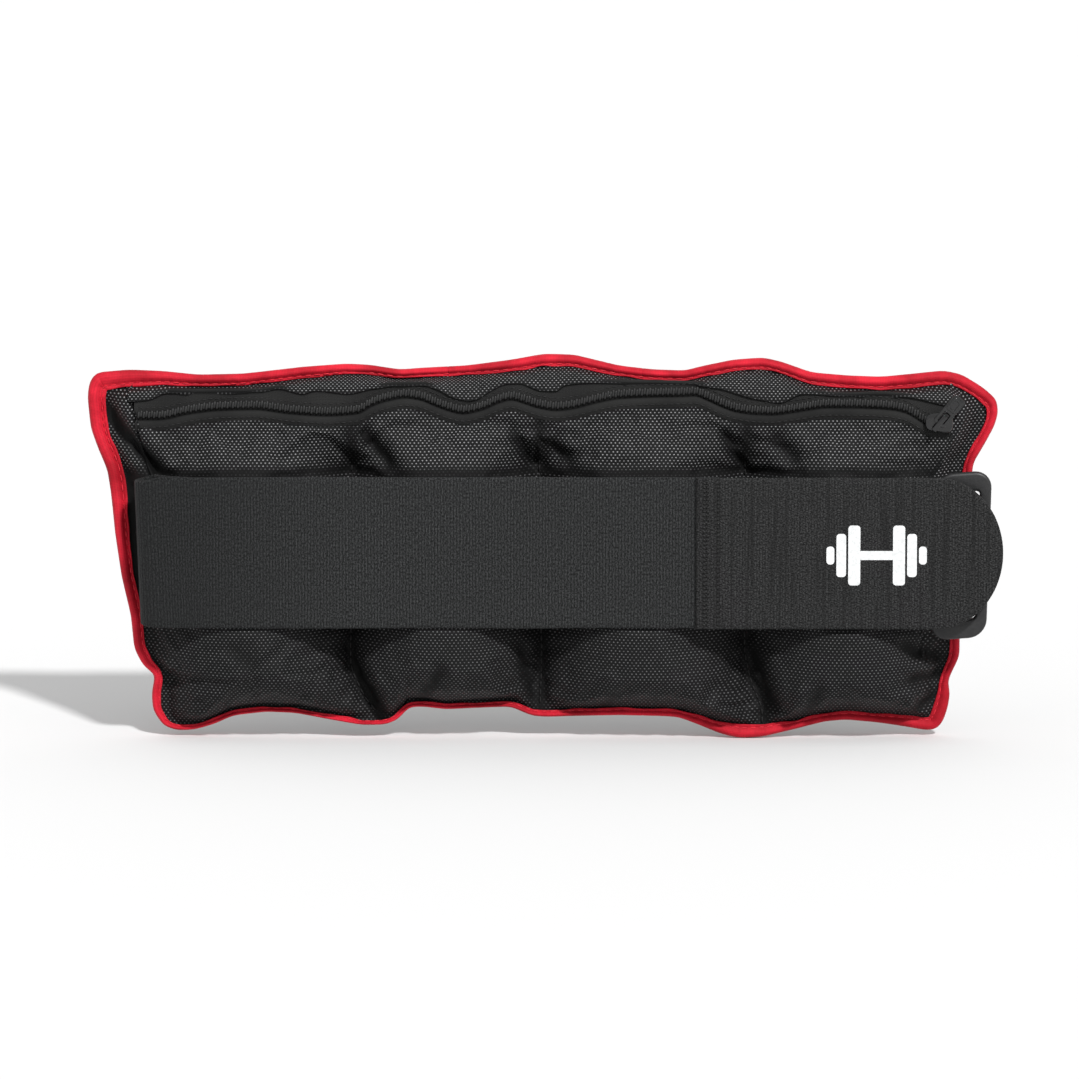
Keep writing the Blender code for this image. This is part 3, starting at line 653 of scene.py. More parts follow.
def back_height(x, z):
    """How far the back stands out, in mm."""
    place = across(x, z)
    low, high = bottom_line(x) + 3.6, top_line(x) - 3.6
    rise = np.clip(np.minimum(z - low, high - z) / 26, 0, 1)
    return BACK_DEPTH * np.minimum(1, 1.25 * (1 - place ** 2)) * np.sqrt(1 - (1 - rise) ** 2)


def pleats(away, along, pitch, wobble, reach, deep):
    """Ripples along a gathered edge, in mm. They start a little away from it and die out over reach mm."""
    wave = np.sin(2 * math.pi * (along / pitch + wobble))
    return deep * wave * np.exp(-away / reach) * (1 - np.exp(-away / 2))


def puckers(x, z):
    """Small pleats where the cloth is gathered into the seams and the bound edge, in mm outward."""
    low = np.maximum(0, z - bottom_line(x) - 3)
    out = pleats(low, x, 9, 1.1 * ripple(x, z, 18, 31), 7, 0.7)
    for k, line in enumerate(seam_lines):
        out += pleats(np.abs(x - line(z)), z, 7.5, 0.8 * ripple(x, z, 14, 20 + k), 6, 0.75)
    for k, line in enumerate((left_line, right_line)):
        away = np.maximum(0, np.abs(x - line(z)) - 4)
        out += pleats(away, z, 8, 1.1 * ripple(x, z, 16, 41 + k), 7, 0.7)
    return out


CLOTH_SETTINGS = {
    "quality": 7, "mass": 0.25, "tension_stiffness": 22, "compression_stiffness": 22, "shear_stiffness": 9,
    "bending_stiffness": 0.35, "tension_damping": 12, "compression_damping": 12, "shear_damping": 12,
    "air_damping": 3, "use_pressure": True, "vertex_group_mass": "pinned"}


def billow(name, points, pinned, material, flat, side, pressure, growth, steps, cap):
    """Blender's cloth: the sheet swells under pressure while its pinned points stay. No point moves
    further than cap mm. Returns the grid of points in mm."""
    obj = new_object(name, points.reshape(-1, 3), sheet_faces(points, side), material, flat.reshape(-1, 3))
    group = obj.vertex_groups.new(name="pinned")
    group.add([int(index) for index in np.flatnonzero(pinned)], 1.0, "REPLACE")
    modifier = obj.modifiers.new("Cloth", "CLOTH")
    cloth = modifier.settings
    for key, value in CLOTH_SETTINGS.items():
        setattr(cloth, key, value)
    cloth.uniform_pressure_force = pressure
    cloth.shrink_min = -growth
    cloth.effector_weights.gravity = 0
    modifier.collision_settings.use_collision = False
    modifier.point_cache.frame_end = steps
    for number in range(1, steps + 1):
        bpy.context.scene.frame_set(number)
    bpy.context.view_layer.objects.active = obj
    bpy.ops.object.modifier_apply(modifier=modifier.name)
    after = np.empty(points.size)
    obj.data.vertices.foreach_get("co", after)
    bpy.data.objects.remove(obj)
    bpy.context.scene.frame_set(1)
    move = after.reshape(points.shape) / MM - points
    far = np.linalg.norm(move, axis=2, keepdims=True)
    return points + move * np.minimum(1, cap / np.maximum(far, 1e-9))


# Each sheet is three pieces: the columns, the pouches that each covers, and its name. Each piece spans one
# seam.
SPLITS = ((0, 66), (66, 110), (110, 176))
POUCHES = ((1, 2), (3,), (4,))
SUFFIX = ("left", "middle", "right")


def cross_seam(obj):
    """Bakes the piece's placement into its mesh."""
    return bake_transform(obj)


def finer(grid):
    """The grid with a new point midway between each two, on a smooth curve, along both directions."""
    for _ in range(2):
        first, last = 2 * grid[:1] - grid[1:2], 2 * grid[-1:] - grid[-2:-1]
        padded = np.concatenate((first, grid, last))
        between = (9 * (padded[1:-2] + padded[2:-1]) - (padded[:-3] + padded[3:])) / 16
        made = np.empty((2 * len(grid) - 1, *grid.shape[1:]))
        made[0::2], made[1::2] = grid, between
        grid = made.transpose(1, 0, 2)
    return grid


def sharp_rims(obj, angle=55):
    """Marks the edges where faces meet at more than that angle, so that a thin sheet shades smoothly."""
    with edited(obj) as bm:
        for edge in bm.edges:
            edge.smooth = edge.calc_face_angle(0) < math.radians(angle)
    return obj


def sheet_faces(points, side):
    """The grid's quads, which look to the front, or to the back where side is 1."""
    faces = grid_faces(*points.shape[:2])
    return [face[::-1] for face in faces] if side > 0 else faces


def sheet_parts(name, points, flat, material, thickness, side=0, steep=2.2):
    """A cloth grid as three thin closed pieces that meet in the middle of pouches 2 and 3. side is -1 for
    a front sheet whose border the binding holds, and 1 for the back one."""
    points, flat = finer(points), finer(flat)
    points[..., 2] = np.minimum(points[..., 2], top_line(points[..., 0]) - 0.9)
    if side:
        points = under_binding(points, side, steep)
    made = []
    for part, (a, b) in enumerate(SPLITS):
        p, f = points[2 * a:2 * b + 1], flat[2 * a:2 * b + 1]
        obj = new_object(f"{name}_{SUFFIX[part]}", p.reshape(-1, 3), sheet_faces(p, side), material,
                         f.reshape(-1, 3))
        apply(obj, "SOLIDIFY", thickness=thickness * MM, offset=-1)
        made.append(cross_seam(sharp_rims(obj)))
    return made


def stands_for(parts, slot_name, *nodes):
    """The three parts replace those nodes of the pouches they cover."""
    for obj, pouches in zip(parts, POUCHES):
        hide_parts(*(f"{node}_{k}" for node in nodes for k in pouches))
    return parts


# Folds pressed into the front: from, to, depth and width
CREASES = (((-146, 111), (-127, 89.5), 4.2, 2.3), ((-66, 30), (-54, 9), 2.5, 2.0),
           ((-60, 104), (-50, 92), 2.2, 2.2), ((2, 101), (9, 93), 1.6, 2.2),
           ((-10, 103), (-4, 92), 1.5, 2.0), ((60, 103), (66, 92), 1.8, 2.2),
           ((76, 102), (84, 94), 1.5, 2.4), ((-8, 32), (-3, 12), 1.6, 2.0),
           ((133, 26), (120, 33), 2.0, 2.2), ((134, 21), (122, 21), 2.2, 2.0),
           ((134, 17), (124, 10), 1.8, 2.0), ((70, 30), (76, 12), 2.0, 2.2),
           ((-104, 34), (-96, 27), 0.8, 3.0), ((-41, 13), (-34, 26), 1.6, 2.2),
           ((88, 9), (92, 20), 1.2, 2.4), ((20, 9), (24, 17), 1.1, 2.2))


def creases(x, z):
    """Sharp folds as valleys, in mm inward: each from one place to another, with its depth and width."""
    out = np.zeros(np.shape(x))
    for a, b, depth, width in CREASES:
        a, b = np.array(a, float), np.array(b, float)
        line = b - a
        t = ((x - a[0]) * line[0] + (z - a[1]) * line[1]) / (line @ line)
        d = np.hypot(x - a[0] - t * line[0], z - a[1] - t * line[1])
        along = smooth((t + 0.25) / 0.4) * smooth((1.25 - t) / 0.4)
        out += depth * along * (np.exp(-(d / width) ** 2) - 0.35 * np.exp(-((d - 2.2 * width) / width) ** 2))
    return out


def painted_shade_amount(x, z):
    """0 to 1: painted shade where shade falls on the cloth: in a fold, along a seam, and where the cloth goes
    behind the strap's top edge or its fold at the left end.
    """
    # Painted shade where the cloth goes behind the strap's top edge.
    strap_edge_shade = 0.85 * np.exp(-((z - STRAP_HIGH + 0.1) / 1.5) ** 2) * (np.abs(x) < 131)
    # Painted shade where the cloth goes behind the strap's fold at the left end.
    strap_bend_shade = 0.9 * smooth((-126 - x) / 4) * smooth((z - 37) / 5) * smooth((93 - z) / 5)
    strongest_shade = np.maximum(np.maximum(creases(x, z) / 2.4, strap_edge_shade), strap_bend_shade)
    for line in seam_lines:
        # Painted shade in the seam valleys, low and high on the cuff.
        low = 0.8 * np.exp(-((x - line(z) - 0.4) / 1.6) ** 2) * smooth((44 - z) / 8)
        high = 0.6 * np.exp(-((x - line(z)) / 2.2) ** 2) * smooth((z - 86) / 5)
        strongest_shade = np.maximum(strongest_shade, np.maximum(low, high))
    return np.clip(strongest_shade, 0, 1)


def clear_of_bags(points, side):
    """Keeps the cloth outside the inner bags, whose halves are a superellipsoid round each pouch's middle."""
    for k in range(4):
        low, high = (np.array(corner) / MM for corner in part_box(f"weight_bag_{k + 1}"))
        centre, size = (low + high) / 2, (high - low) / 2
        depth = MID_Y - low[1] if side < 0 else high[1] - MID_Y
        rest = (1 - (np.abs(points[..., 0] - centre[0]) / (size[0] + 1.5)) ** BAG_POWER
                - (np.abs(points[..., 2] - centre[2]) / (size[2] + 4)) ** BAG_POWER)
        wall = MID_Y + side * (1.1 + depth * np.clip(rest, 0, 1) ** (1 / BAG_POWER))
        outside = np.minimum if side < 0 else np.maximum
        points[..., 1] = np.where(rest > 0, outside(points[..., 1], wall), points[..., 1])
    return points


def front_cloth():
    """The dotted front below the zip. It also covers both ends, beyond the zip."""
    rows = 60
    column, row = np.indices((4 * COLUMNS + 1, rows + 1))
    ends = (column <= ZIP_COLUMNS[0]) | (column >= ZIP_COLUMNS[1])
    shoulder = 4.8 * np.isin(column, ZIP_COLUMNS)
    x, z = cloth_grid(lambda x: bottom_line(x) + 1.0,
                      lambda x: (coil_line(x) - 3.0) * (1 - ends) + (top_line(x) - 1.2 - shoulder) * ends,
                      rows)
    near_end = np.maximum(smooth((-131 - x) / 4), smooth((x - 130) / 4))
    height = (front_height(x, z) * (1 - near_end)
              + np.minimum(front_height(x, z), ZIP_RISE * end_fall(x, z)) * near_end)
    # beyond the zip the sheet runs on up to the top binding
    t = np.clip((z - 107) / (top_line(x) - 3.6 - 107), 0, 1)
    height *= 1 - ends * (1 - np.sqrt(1 - t * t))
    seam = np.isin(column, (COLUMNS, 2 * COLUMNS, 3 * COLUMNS)) & (row < rows * 0.82)
    pinned = (seam | (row <= 2) | (row >= rows - 1) | (column <= 3) | (column >= 4 * COLUMNS - 3)
              | ((row > rows * 0.7) & ((column <= 10) | (column >= 167))))
    y = mid(x, z) - FLANGE * 0.6 - 0.94 * height - np.where(pinned, 0, puckers(x, z))
    # The third number is painted shade in the folds, along the seams and at the strap's edges.
    flat = xyz(x, z, painted_shade_amount(x, z))
    solved = billow("front_sheet", xyz(x, y, z), pinned, CLOTH, flat, -1,
                    pressure=2.6, growth=0.025, steps=16, cap=5.0)
    x, y, z = solved.transpose(2, 0, 1)
    y += creases(x, z) * smooth((row - 2) / 3)
    strap = smooth((z - STRAP_LOW + 4) / 4) * smooth((STRAP_HIGH + 4 - z) / 4)
    y[:] = np.maximum(y, 2.2 * strap - 15.8 + 0.3 * ripple(x, z, 9, 3))
    clear_of_bags(solved, -1)
    y[:] = np.minimum(y, mid(x, z) - 0.6)
    return stands_for(sheet_parts("front_cloth", solved, flat, CLOTH, 0.5, -1), "pouch_fabric", "front_panel")


def front_strip():
    """The dotted strip between the zip and the top binding."""
    x, z = cloth_grid(upper_line, lambda x: top_line(x) - 1.2, 8, ends=(-138.0, 138.5))
    t = np.clip((z - upper_line(x)) / (top_line(x) - 3.4 - upper_line(x)), 0, 1)
    height = 9.2 * end_fall(x, z) * np.sqrt(1 - t * t) + 0.3 * ripple(x, z, 7, 8) * (1 - t)
    y = mid(x, z) - FLANGE * 0.55 - height
    # The third number paints shade along the strip's lower edge, where it folds over the zip tape.
    flat = xyz(x, z - 0.6 * height, 0.5 * (z < upper_line(x) + 0.6))
    return stands_for(sheet_parts("front_strip", xyz(x, y, z), flat, CLOTH, 0.45, -1, steep=8),
                      "pouch_fabric", "front_strip")


def back_cloth():
    """The leg side's cloth."""
    rows = 62
    x, z = cloth_grid(lambda x: bottom_line(x) + 1.0, lambda x: top_line(x) - 1.0, rows)
    column, row = np.indices(x.shape)
    seam = np.isin(column, (COLUMNS, 2 * COLUMNS, 3 * COLUMNS))
    pinned = seam | (row <= 2) | (row >= rows - 2) | (column <= 3) | (column >= 4 * COLUMNS - 3)
    y = mid(x, z) + FLANGE * 0.6 + 0.93 * back_height(x, z) + np.where(pinned, 0, 0.6 * puckers(x, z))
    flat = xyz(x, z, 0.0)
    solved = billow("back_sheet", xyz(x, y, z), pinned, BACK, flat, 1,
                    pressure=1.2, growth=0.03, steps=12, cap=2.5)
    solved[..., 1] = np.minimum(solved[..., 1], BACK_LIMIT)
    clear_of_bags(solved, 1)
    return stands_for(sheet_parts("back_cloth", solved, flat, BACK, 0.5, 1), "back_fabric", "back_panel")


front = front_cloth()
front_strip()
back = back_cloth()


def slab(name, centre, normal, half, material, flat):
    """A thin piece with round edges: half its thickness either side of centre, and 0 at its border."""
    sides = [(centre + sign * half[:, :, None] * normal).reshape(-1, 3) for sign in (1, -1)]
    faces = grid_faces(*half.shape)
    faces += [tuple(n + half.size for n in reversed(face)) for face in faces]
    obj = new_object(name, np.concatenate(sides), faces, material, np.concatenate((flat.reshape(-1, 3),) * 2))
    with edited(obj) as bm:
        bmesh.ops.remove_doubles(bm, verts=bm.verts, dist=1e-7)
        bmesh.ops.recalc_face_normals(bm, faces=bm.faces)
    return obj


def edged(count, width, radius):
    """Places from 0 to width: count even steps, and closer ones inside radius of both ends."""
    close = radius * np.array((0, 0.06, 0.25, 0.6, 1.0))
    middle = np.linspace(radius, width - radius, count + 1)[1:-1]
    return np.concatenate((close, middle, width - close[::-1]))


def rounded_half(distance, thickness):
    """Half the thickness, rounded off towards the border, which is that distance away."""
    e = np.clip(distance / (thickness / 2), 0, 1)
    return thickness / 2 * np.sqrt(np.maximum(0, 1 - (1 - e) ** 2))


def strip_along(name, path, low, high, thickness, material, rows=14, wave=None, fit=None):
    """A flat strap that stands from low to high and follows (x, y) points, with round edges. wave gives its
    move along its normal, and fit its moves along x and z."""
    path = np.asarray(path, float)
    s = lengths(path)
    length, width = s[-1], high - low
    along = edged(max(6, int(length / 1.6)), length, thickness / 2)
    x, y = np.interp(along, s, path[:, 0]), np.interp(along, s, path[:, 1])
    dx, dy = np.gradient(x, along), np.gradient(y, along)
    size = np.hypot(dx, dy)
    along, over = np.meshgrid(along, edged(rows, width, thickness / 2), indexing="ij")
    centre = xyz(x[:, None], y[:, None], low + over)
    normal = xyz((-dy / size)[:, None], (dx / size)[:, None], 0 * over)
    if wave is not None:
        centre += normal * wave(along, over)[:, :, None]
    if fit is not None:
        aside, lift = fit(centre[:, :, 0], centre[:, :, 2])
        centre[:, :, 0] += aside
        centre[:, :, 2] += lift
    half = np.minimum(rounded_half(np.minimum(along, length - along), thickness),
                      rounded_half(np.minimum(over, width - over), thickness))
    return slab(name, centre, normal, half, material, xyz(along, low + over, 0.0))


# ---------------------------------------------------------------- binding

LEAF = ((1.0, 1.05), (0.99, 1.45), (0.93, 1.75), (0.85, 1.74), (0.77, 1.58), (0.69, 1.76), (0.55, 2.2),
        (0.38, 2.45), (0.22, 2.25), (0.1, 1.7), (0.02, 0.95), (0.0, 0.3))
INSIDE = ((0.3, 0.75), (0.7, 0.98))


def runs_where(inside):
    """The stretches of the outline where inside holds, with one more point at each end."""
    return [np.arange(start - 1, start + np.argmin(np.roll(inside, -start)) + 1) % len(inside)
            for start in np.flatnonzero(inside & ~np.roll(inside, 1))]


STITCH_PITCH, STITCH_HALF = 3.1, 1.08
STITCH_PLACE = 0.77


def leaf_swell(along, side):
    """The leaves aren't even: they swell and sink a little, and are drawn in at each stitch."""
    slow = 0.34 * ripple(along, 0 * along + 9 * side, 9, 50 + side)
    slow = slow + 0.16 * ripple(along, 0 * along + 9 * side, 3.4, 54 + side)
    return slow, 0.3 * (0.5 + 0.5 * np.cos(2 * math.pi * along / STITCH_PITCH))


def bind_run(name, run):
    """The folded tape along one stretch of the outline."""
    x, z = edge_points[run].T
    width = edge_width[run]
    path = xyz(x, mid(x, z), z)
    inward = xyz(edge_inward[run, 0], 0.0, edge_inward[run, 1])
    rows = []
    lip = 0.7 * smooth((-100 - x) / 10) * smooth((z - 25) / 15) * smooth((117 - z) / 8)
    for side, order in ((-1, LEAF), (1, tuple(reversed(LEAF)))):
        slow, drawn = leaf_swell(edge_along[run], side)
        edge = 0.35 * ripple(edge_along[run], 0 * x + 5 * side, 5, 60 + side)
        for d, y in order:
            near_stitch = math.exp(-(((d - STITCH_PLACE) / 0.13) ** 2))
            crease = lip * math.exp(-(((d - STITCH_PLACE) / 0.07) ** 2))
            swell = (y > 1.2) * (slow - drawn * near_stitch)
            rows.append(np.stack((d * width + edge * (d > 0.8), side * (y - crease + swell)), 1))
    for side, order in ((1, tuple(reversed(INSIDE))), (-1, INSIDE)):
        for d, y in order:
            rows.append(np.stack((d * width, side * y + 0 * x), 1))
    return sweep(name, path, inward, np.stack(rows, 1), BINDING)


BINDING_NODES = (("binding_top_1", "binding_top_2", "binding_bottom_1", "binding_bottom_2",
                  "binding_left_end"), ("binding_top_3", "binding_bottom_3"),
                 ("binding_top_4", "binding_bottom_4", "binding_right_end"))
edge_x = edge_points[:, 0]
loop_length = edge_along[-1] + edge_along[1]
for part, covered in enumerate((edge_x < MID_POUCH[0], (edge_x >= MID_POUCH[0]) & (edge_x <= MID_POUCH[1]),
                                edge_x > MID_POUCH[1])):
    runs = runs_where(covered)
    tape = join([bind_run(f"binding_run_{part}_{k}", run) for k, run in enumerate(runs)],
                f"binding_{SUFFIX[part]}")
    apply(tape, "SUBSURF", levels=1, render_levels=1)
    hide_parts(*BINDING_NODES[part])
    cross_seam(tape)
    starts, ends = [], []
    for run in runs:
        s = edge_along[run]
        s[np.concatenate(([0], np.cumsum(np.diff(s) < 0))) > 0] += loop_length
        first, last = math.ceil(s[0] / STITCH_PITCH + 0.5) - 0.5, s[-1] / STITCH_PITCH - 0.5
        middle = np.arange(first, last) * STITCH_PITCH + STITCH_PITCH / 2
        for side in (-1, 1):
            for place, tips in ((middle - STITCH_HALF, starts), (middle + STITCH_HALF, ends)):
                x, z, width, inward_x, inward_z = (
                    np.interp(place, s, values) for values in
                    (*edge_points[run].T, edge_width[run], *edge_inward[run].T))
                y = mid(x, z) + side * (1.5 + leaf_swell(place, side)[0])
                tips.append(xyz(x + inward_x * STITCH_PLACE * width, y, z + inward_z * STITCH_PLACE * width))
    thread = capsules(f"binding_stitches_{SUFFIX[part]}", np.concatenate(starts), np.concatenate(ends),
                      0.24, RED_THREAD)
    cross_seam(thread)


# ---------------------------------------------------------------- zip

COIL_Y, TAPE_Y = -3.35, -2.35


def chain_middle(x):
    return coil_line(x) + 1.15


def zip_tape(name, low, high, node):
    """One tape of the zip as three pieces."""
    x, z = cloth_grid(low, high, 10, ends=(TAPE_ENDS[0], TAPE_ENDS[1] + 2))
    y = TAPE_Y + 0.15 * ripple(x, z, 8, 71)
    place = z - chain_middle(x)
    # Painted shade: dark lines in the gap between the welt and the chain, and under the strip's folded edge.
    painted_crevice_shade = np.maximum(np.exp(-((place + 1.7) / 0.45) ** 2), np.exp(-((z - upper_line(x)) / 0.6) ** 2))
    flat = xyz(x, place, painted_crevice_shade)
    return stands_for(sheet_parts(name, xyz(x, y, z), flat, TAPE, 0.5), "zip_tape", node)


zip_tape("zip_tape_under", lambda x: chain_middle(x) - 6.0, lambda x: chain_middle(x) - 0.15,
         "zip_tape_lower")
zip_tape("zip_tape_over", lambda x: chain_middle(x) + 0.15,
         lambda x: np.maximum(upper_line(x) + 1.2, chain_middle(x) + 2.4), "zip_tape_upper")


def welt():
    """The cloth's folded edge below the chain, a little proud of the tape."""
    rows = 6
    x, z = cloth_grid(lambda x: chain_middle(x) - 5.4, lambda x: chain_middle(x) - 1.95, rows,
                      ends=(TAPE_ENDS[0] + 0.3, TAPE_ENDS[1] + 0.5))
    v = np.indices(x.shape)[1] / rows
    y = -3.3 - (0.45 * np.sin(math.pi * v) + 0.12 * ripple(x, z, 6, 73))
    # The third number paints shade along the welt's top, in the gap under the chain.
    flat = xyz(x, z - chain_middle(x), 0.9 * smooth((v - 0.88) / 0.12))
    sheet_parts("zip_welt", xyz(x, y, z), flat, WELT, 0.5)


welt()

TOOTH_PITCH, TOOTH_REACH = 0.87, 1.18
ZIP_STITCH_PITCH, ZIP_STITCH = 2.1, 1.5
tooth_x = np.arange(TAPE_ENDS[0] + 1.5, 129.0, TOOTH_PITCH)
for part, (low_x, high_x) in enumerate(((-999, MID_POUCH[0]), MID_POUCH, (MID_POUCH[1], 999))):
    own = tooth_x[(tooth_x >= low_x) & (tooth_x < high_x)]
    number = np.round((own - tooth_x[0]) / TOOTH_PITCH).astype(int)
    side = np.where(number % 2, 1.0, -1.0)
    tips = [xyz(own + 0.16 * end, COIL_Y + 0.25, chain_middle(own) + TOOTH_REACH * end + 0.16 * side)
            for end in (-1, 1)]
    teeth = capsules(f"zip_teeth_{SUFFIX[part]}", *tips, 0.46, COIL, squash=0.8, sides=8)
    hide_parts(*(f"zip_coil_{k}" for k in POUCHES[part]))
    cross_seam(teeth)
    at = np.arange(max(low_x, tooth_x[0]), min(high_x, tooth_x[-1]), ZIP_STITCH_PITCH)
    for row, away, depth in (("low", -4.2, -3.82), ("high", 2.2, TAPE_Y - 0.12)):
        tips = [xyz(x, depth, chain_middle(x) + away) for x in (at, at + ZIP_STITCH)]
        cross_seam(capsules(f"zip_stitches_{row}_{SUFFIX[part]}", *tips, 0.16, DARK_THREAD))


# ---------------------------------------------------------------- strap

def on_cloth(x, heights):
    """The y of the dotted cloth's front at x, at whichever of those heights it stands out most."""
    x, z = np.full(len(heights), float(x)), np.array(heights)
    return float(np.min(mid(x, z) - FLANGE * 0.6 - np.minimum(front_height(x, z), 16.8)))


STRAP_MID = (STRAP_LOW + STRAP_HIGH) / 2
sewn = [(x, min(on_cloth(x, (45.0, 65.0, 85.0)) - 1.1, -3.8)) for x in np.linspace(-116.5, -129.1, 9)]
anchor = strip_along("strap_sewn_end", sewn, STRAP_LOW + 0.4, STRAP_HIGH - 0.4, BAND_THICK, ELASTIC)
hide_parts("strap_anchor")
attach(anchor, "pouch_1")

turn = np.radians(np.linspace(92, 270, 26))
path = [(LOOP_X + LOOP_RADIUS * math.cos(a), LOOP_Y + LOOP_RADIUS * math.sin(a)) for a in turn]
path += [(x, BAND_Y) for x in np.arange(LOOP_X + 2, 58, 2.0)] + [(58.0, BAND_Y)]


def band_wave(along, over):
    """The band isn't quite flat between its fold and the tab."""
    calm = smooth((along - 20) / 15) * smooth((190 - along) / 15)
    return 0.32 * calm * ripple(along, over, 26, 81)


def band_fit(x, z):
    """The fold at the left isn't square: it leans, and its top corner drops a little. Gives (x, z) moves."""
    corner = smooth((-126 - x) / 9)
    share = (z - STRAP_LOW) / (STRAP_HIGH - STRAP_LOW)
    edge = 0.22 * ripple(x, 0 * x, 21, 83) * (share - 0.5)
    lean = 1.9 * (1 - share) * smooth((-112 - x) / 16)
    return lean, edge + corner * (-1.5 * share ** 2 + 0.4 * (1 - share) ** 2)


band = strip_along("strap_elastic", path, STRAP_LOW, STRAP_HIGH, BAND_THICK, ELASTIC, rows=24,
                   wave=band_wave, fit=band_fit)
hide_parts("strap_fold", "strap_band")
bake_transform(band)

TAB_START, TIP_X, TIP_REACH, TAB_HALF = 50.2, 130.0, 21.9, 25.3
TAB_Y, TAB_THICK, TIP_TURN = -16.65, 1.45, 87.7


def hook_tab():
    """The tab on the strap's free end, with its rounded tip."""
    body_x = edged(52, TIP_X - TAB_START, TAB_THICK / 2)[:-5] + TAB_START
    tip_x = TIP_X + TIP_REACH * np.sin(np.radians(np.linspace(0, TIP_TURN, 26)))
    x, over = np.meshgrid(np.concatenate((body_x, tip_x)), edged(30, 2.0, TAB_THICK / 2 / TAB_HALF) - 1,
                          indexing="ij")
    tall = TAB_HALF * np.sqrt(np.maximum(0.0015, 1 - (np.clip(x - TIP_X, 0, None) / TIP_REACH) ** 2))
    z = STRAP_MID + tall * over
    to_end = np.minimum(x - TAB_START, tip_x[-1] - x)
    half = rounded_half(np.minimum((1 - np.abs(over)) * tall, to_end), TAB_THICK)
    y = TAB_Y + 0.2 * ripple(x, z, 30, 91) * smooth((x - 60) / 20) * smooth((90 - x) / 8)
    y += 0.4 * smooth((51.6 - x) / 1.4)
    return slab("strap_hook_tab_cloth", xyz(x, y, z), np.array((0.0, -1.0, 0.0)), half, HOOK,
                xyz(x, z, 0.0))


tab = hook_tab()
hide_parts("strap_hook_tab")
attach(tab, "strap")


STITCH_RISE = 1.9
for number, line in enumerate(seam_lines):
    z = np.arange(float(bottom_line(line(0.0))) + 5, float(top_line(line(120.0))) - 5, 2.6)
    starts, ends = [], []
    for side, high in ((-1, z[z <= 100]), (1, z)):
        y = mid(line(high), high) + side * 1.15
        starts.append(xyz(line(high), y, high))
        ends.append(xyz(line(high + STITCH_RISE), y, high + STITCH_RISE))
    thread = capsules(f"seam_stitches_{number + 1}", np.concatenate(starts), np.concatenate(ends), 0.26,
                      DARK_THREAD)
    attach(thread, "pouch_2" if number < 2 else "pouch_3")

face = TAB_Y - TAB_THICK / 2 - 0.05
for name, x, length, radius, slant in (("tab_chevrons_left", 53.0, 0.5, 0.36, -0.5),
                                       ("tab_chevrons_right", 54.2, 0.5, 0.36, 0.5),
                                       ("tab_seam", 57.5, 0.8, 0.34, 0.0)):
    z = np.arange(STRAP_LOW + 1.4, STRAP_HIGH - 1.2 - length, 1.35)
    tips = [xyz(x + slant * end, face, z + length * (end > 0)) for end in (-1, 1)]
    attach(capsules(name, *tips, radius, DARK_THREAD), "strap")


# ---------------------------------------------------------------- emblem: a dumbbell, printed on the tab

def rounded(left, right, low, high, radius, count=8):
    """A rectangle's outline with round corners."""
    corners = ((right - radius, high - radius, 0), (left + radius, high - radius, 90),
               (left + radius, low + radius, 180), (right - radius, low + radius, 270))
    return [(cx + radius * math.cos(math.radians(start + 90 * k / count)),
             cz + radius * math.sin(math.radians(start + 90 * k / count)))
            for cx, cz, start in corners for k in range(count + 1)]


def prism(name, outer, inner, near, far, material, smooth_faces=True):
    """A flat part between two y places, with an outer and an optional inner outline of as many points."""
    n = len(outer)
    vertices = [(x, y, z) for loop in (outer, inner) if loop for y in (near, far) for x, z in loop]

    def band(start, above):
        return [(start + k, start + (k + 1) % n, above + (k + 1) % n, above + k) for k in range(n)]

    faces = band(0, n)
    if inner:
        faces += band(2 * n, 3 * n) + band(0, 2 * n) + band(n, 3 * n)
    else:
        faces += [tuple(range(n)), tuple(range(2 * n - 1, n - 1, -1))]
    return face_out(new_object(name, vertices, faces, material, smooth_faces=smooth_faces))


def plate(name, outer, inner, near, far, bevel, material, segments=4):
    """The same with rounded edges."""
    return apply(prism(name, outer, inner, near, far, material), "BEVEL", width=bevel * MM, segments=segments,
                 limit_method="ANGLE", angle_limit=math.radians(50), harden_normals=False)


def plaque(name, left, right, low, high, radius):
    """A rounded white print just proud of the tab."""
    return prism(name, rounded(left, right, low, high, radius, 7), None, face - 0.08, face + 0.3, PRINT,
                 smooth_faces=False)


MARK_X, MARK_Z = 110.0, 64.6
parts = [plaque("mark_bar", MARK_X - 5.4, MARK_X + 5.4, MARK_Z - 1.5, MARK_Z + 1.5, 0.3)]
for side in (-1, 1):
    for number, (near, far, tall) in enumerate(((5.4, 9.4, 10.0), (10.1, 13.3, 7.2), (14.0, 16.6, 3.0))):
        a, b = sorted((MARK_X + side * near, MARK_X + side * far))
        parts.append(plaque(f"mark_{number}_{side}", a, b, MARK_Z - tall, MARK_Z + tall, 1.1))
mark = join(parts, "weight_mark")
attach(mark, "strap")


# ---------------------------------------------------------------- ring, webbing, slider, puller

def lean_ring(points):
    """The ring hangs a little out of true."""
    return [(x + (z - 63) * 0.028, z + (x - 138) * 0.07) for x, z in points]


ring = plate("strap_ring_moulded", lean_ring(rounded(129.0, 147.6, 35.6, 91.3, 5.8)),
             lean_ring(rounded(132.4, 143.8, 42.2, 84.8, 1.3)), -11.1, -8.1, 0.95, RING, 5)
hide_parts("strap_ring")
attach(ring, "ring")

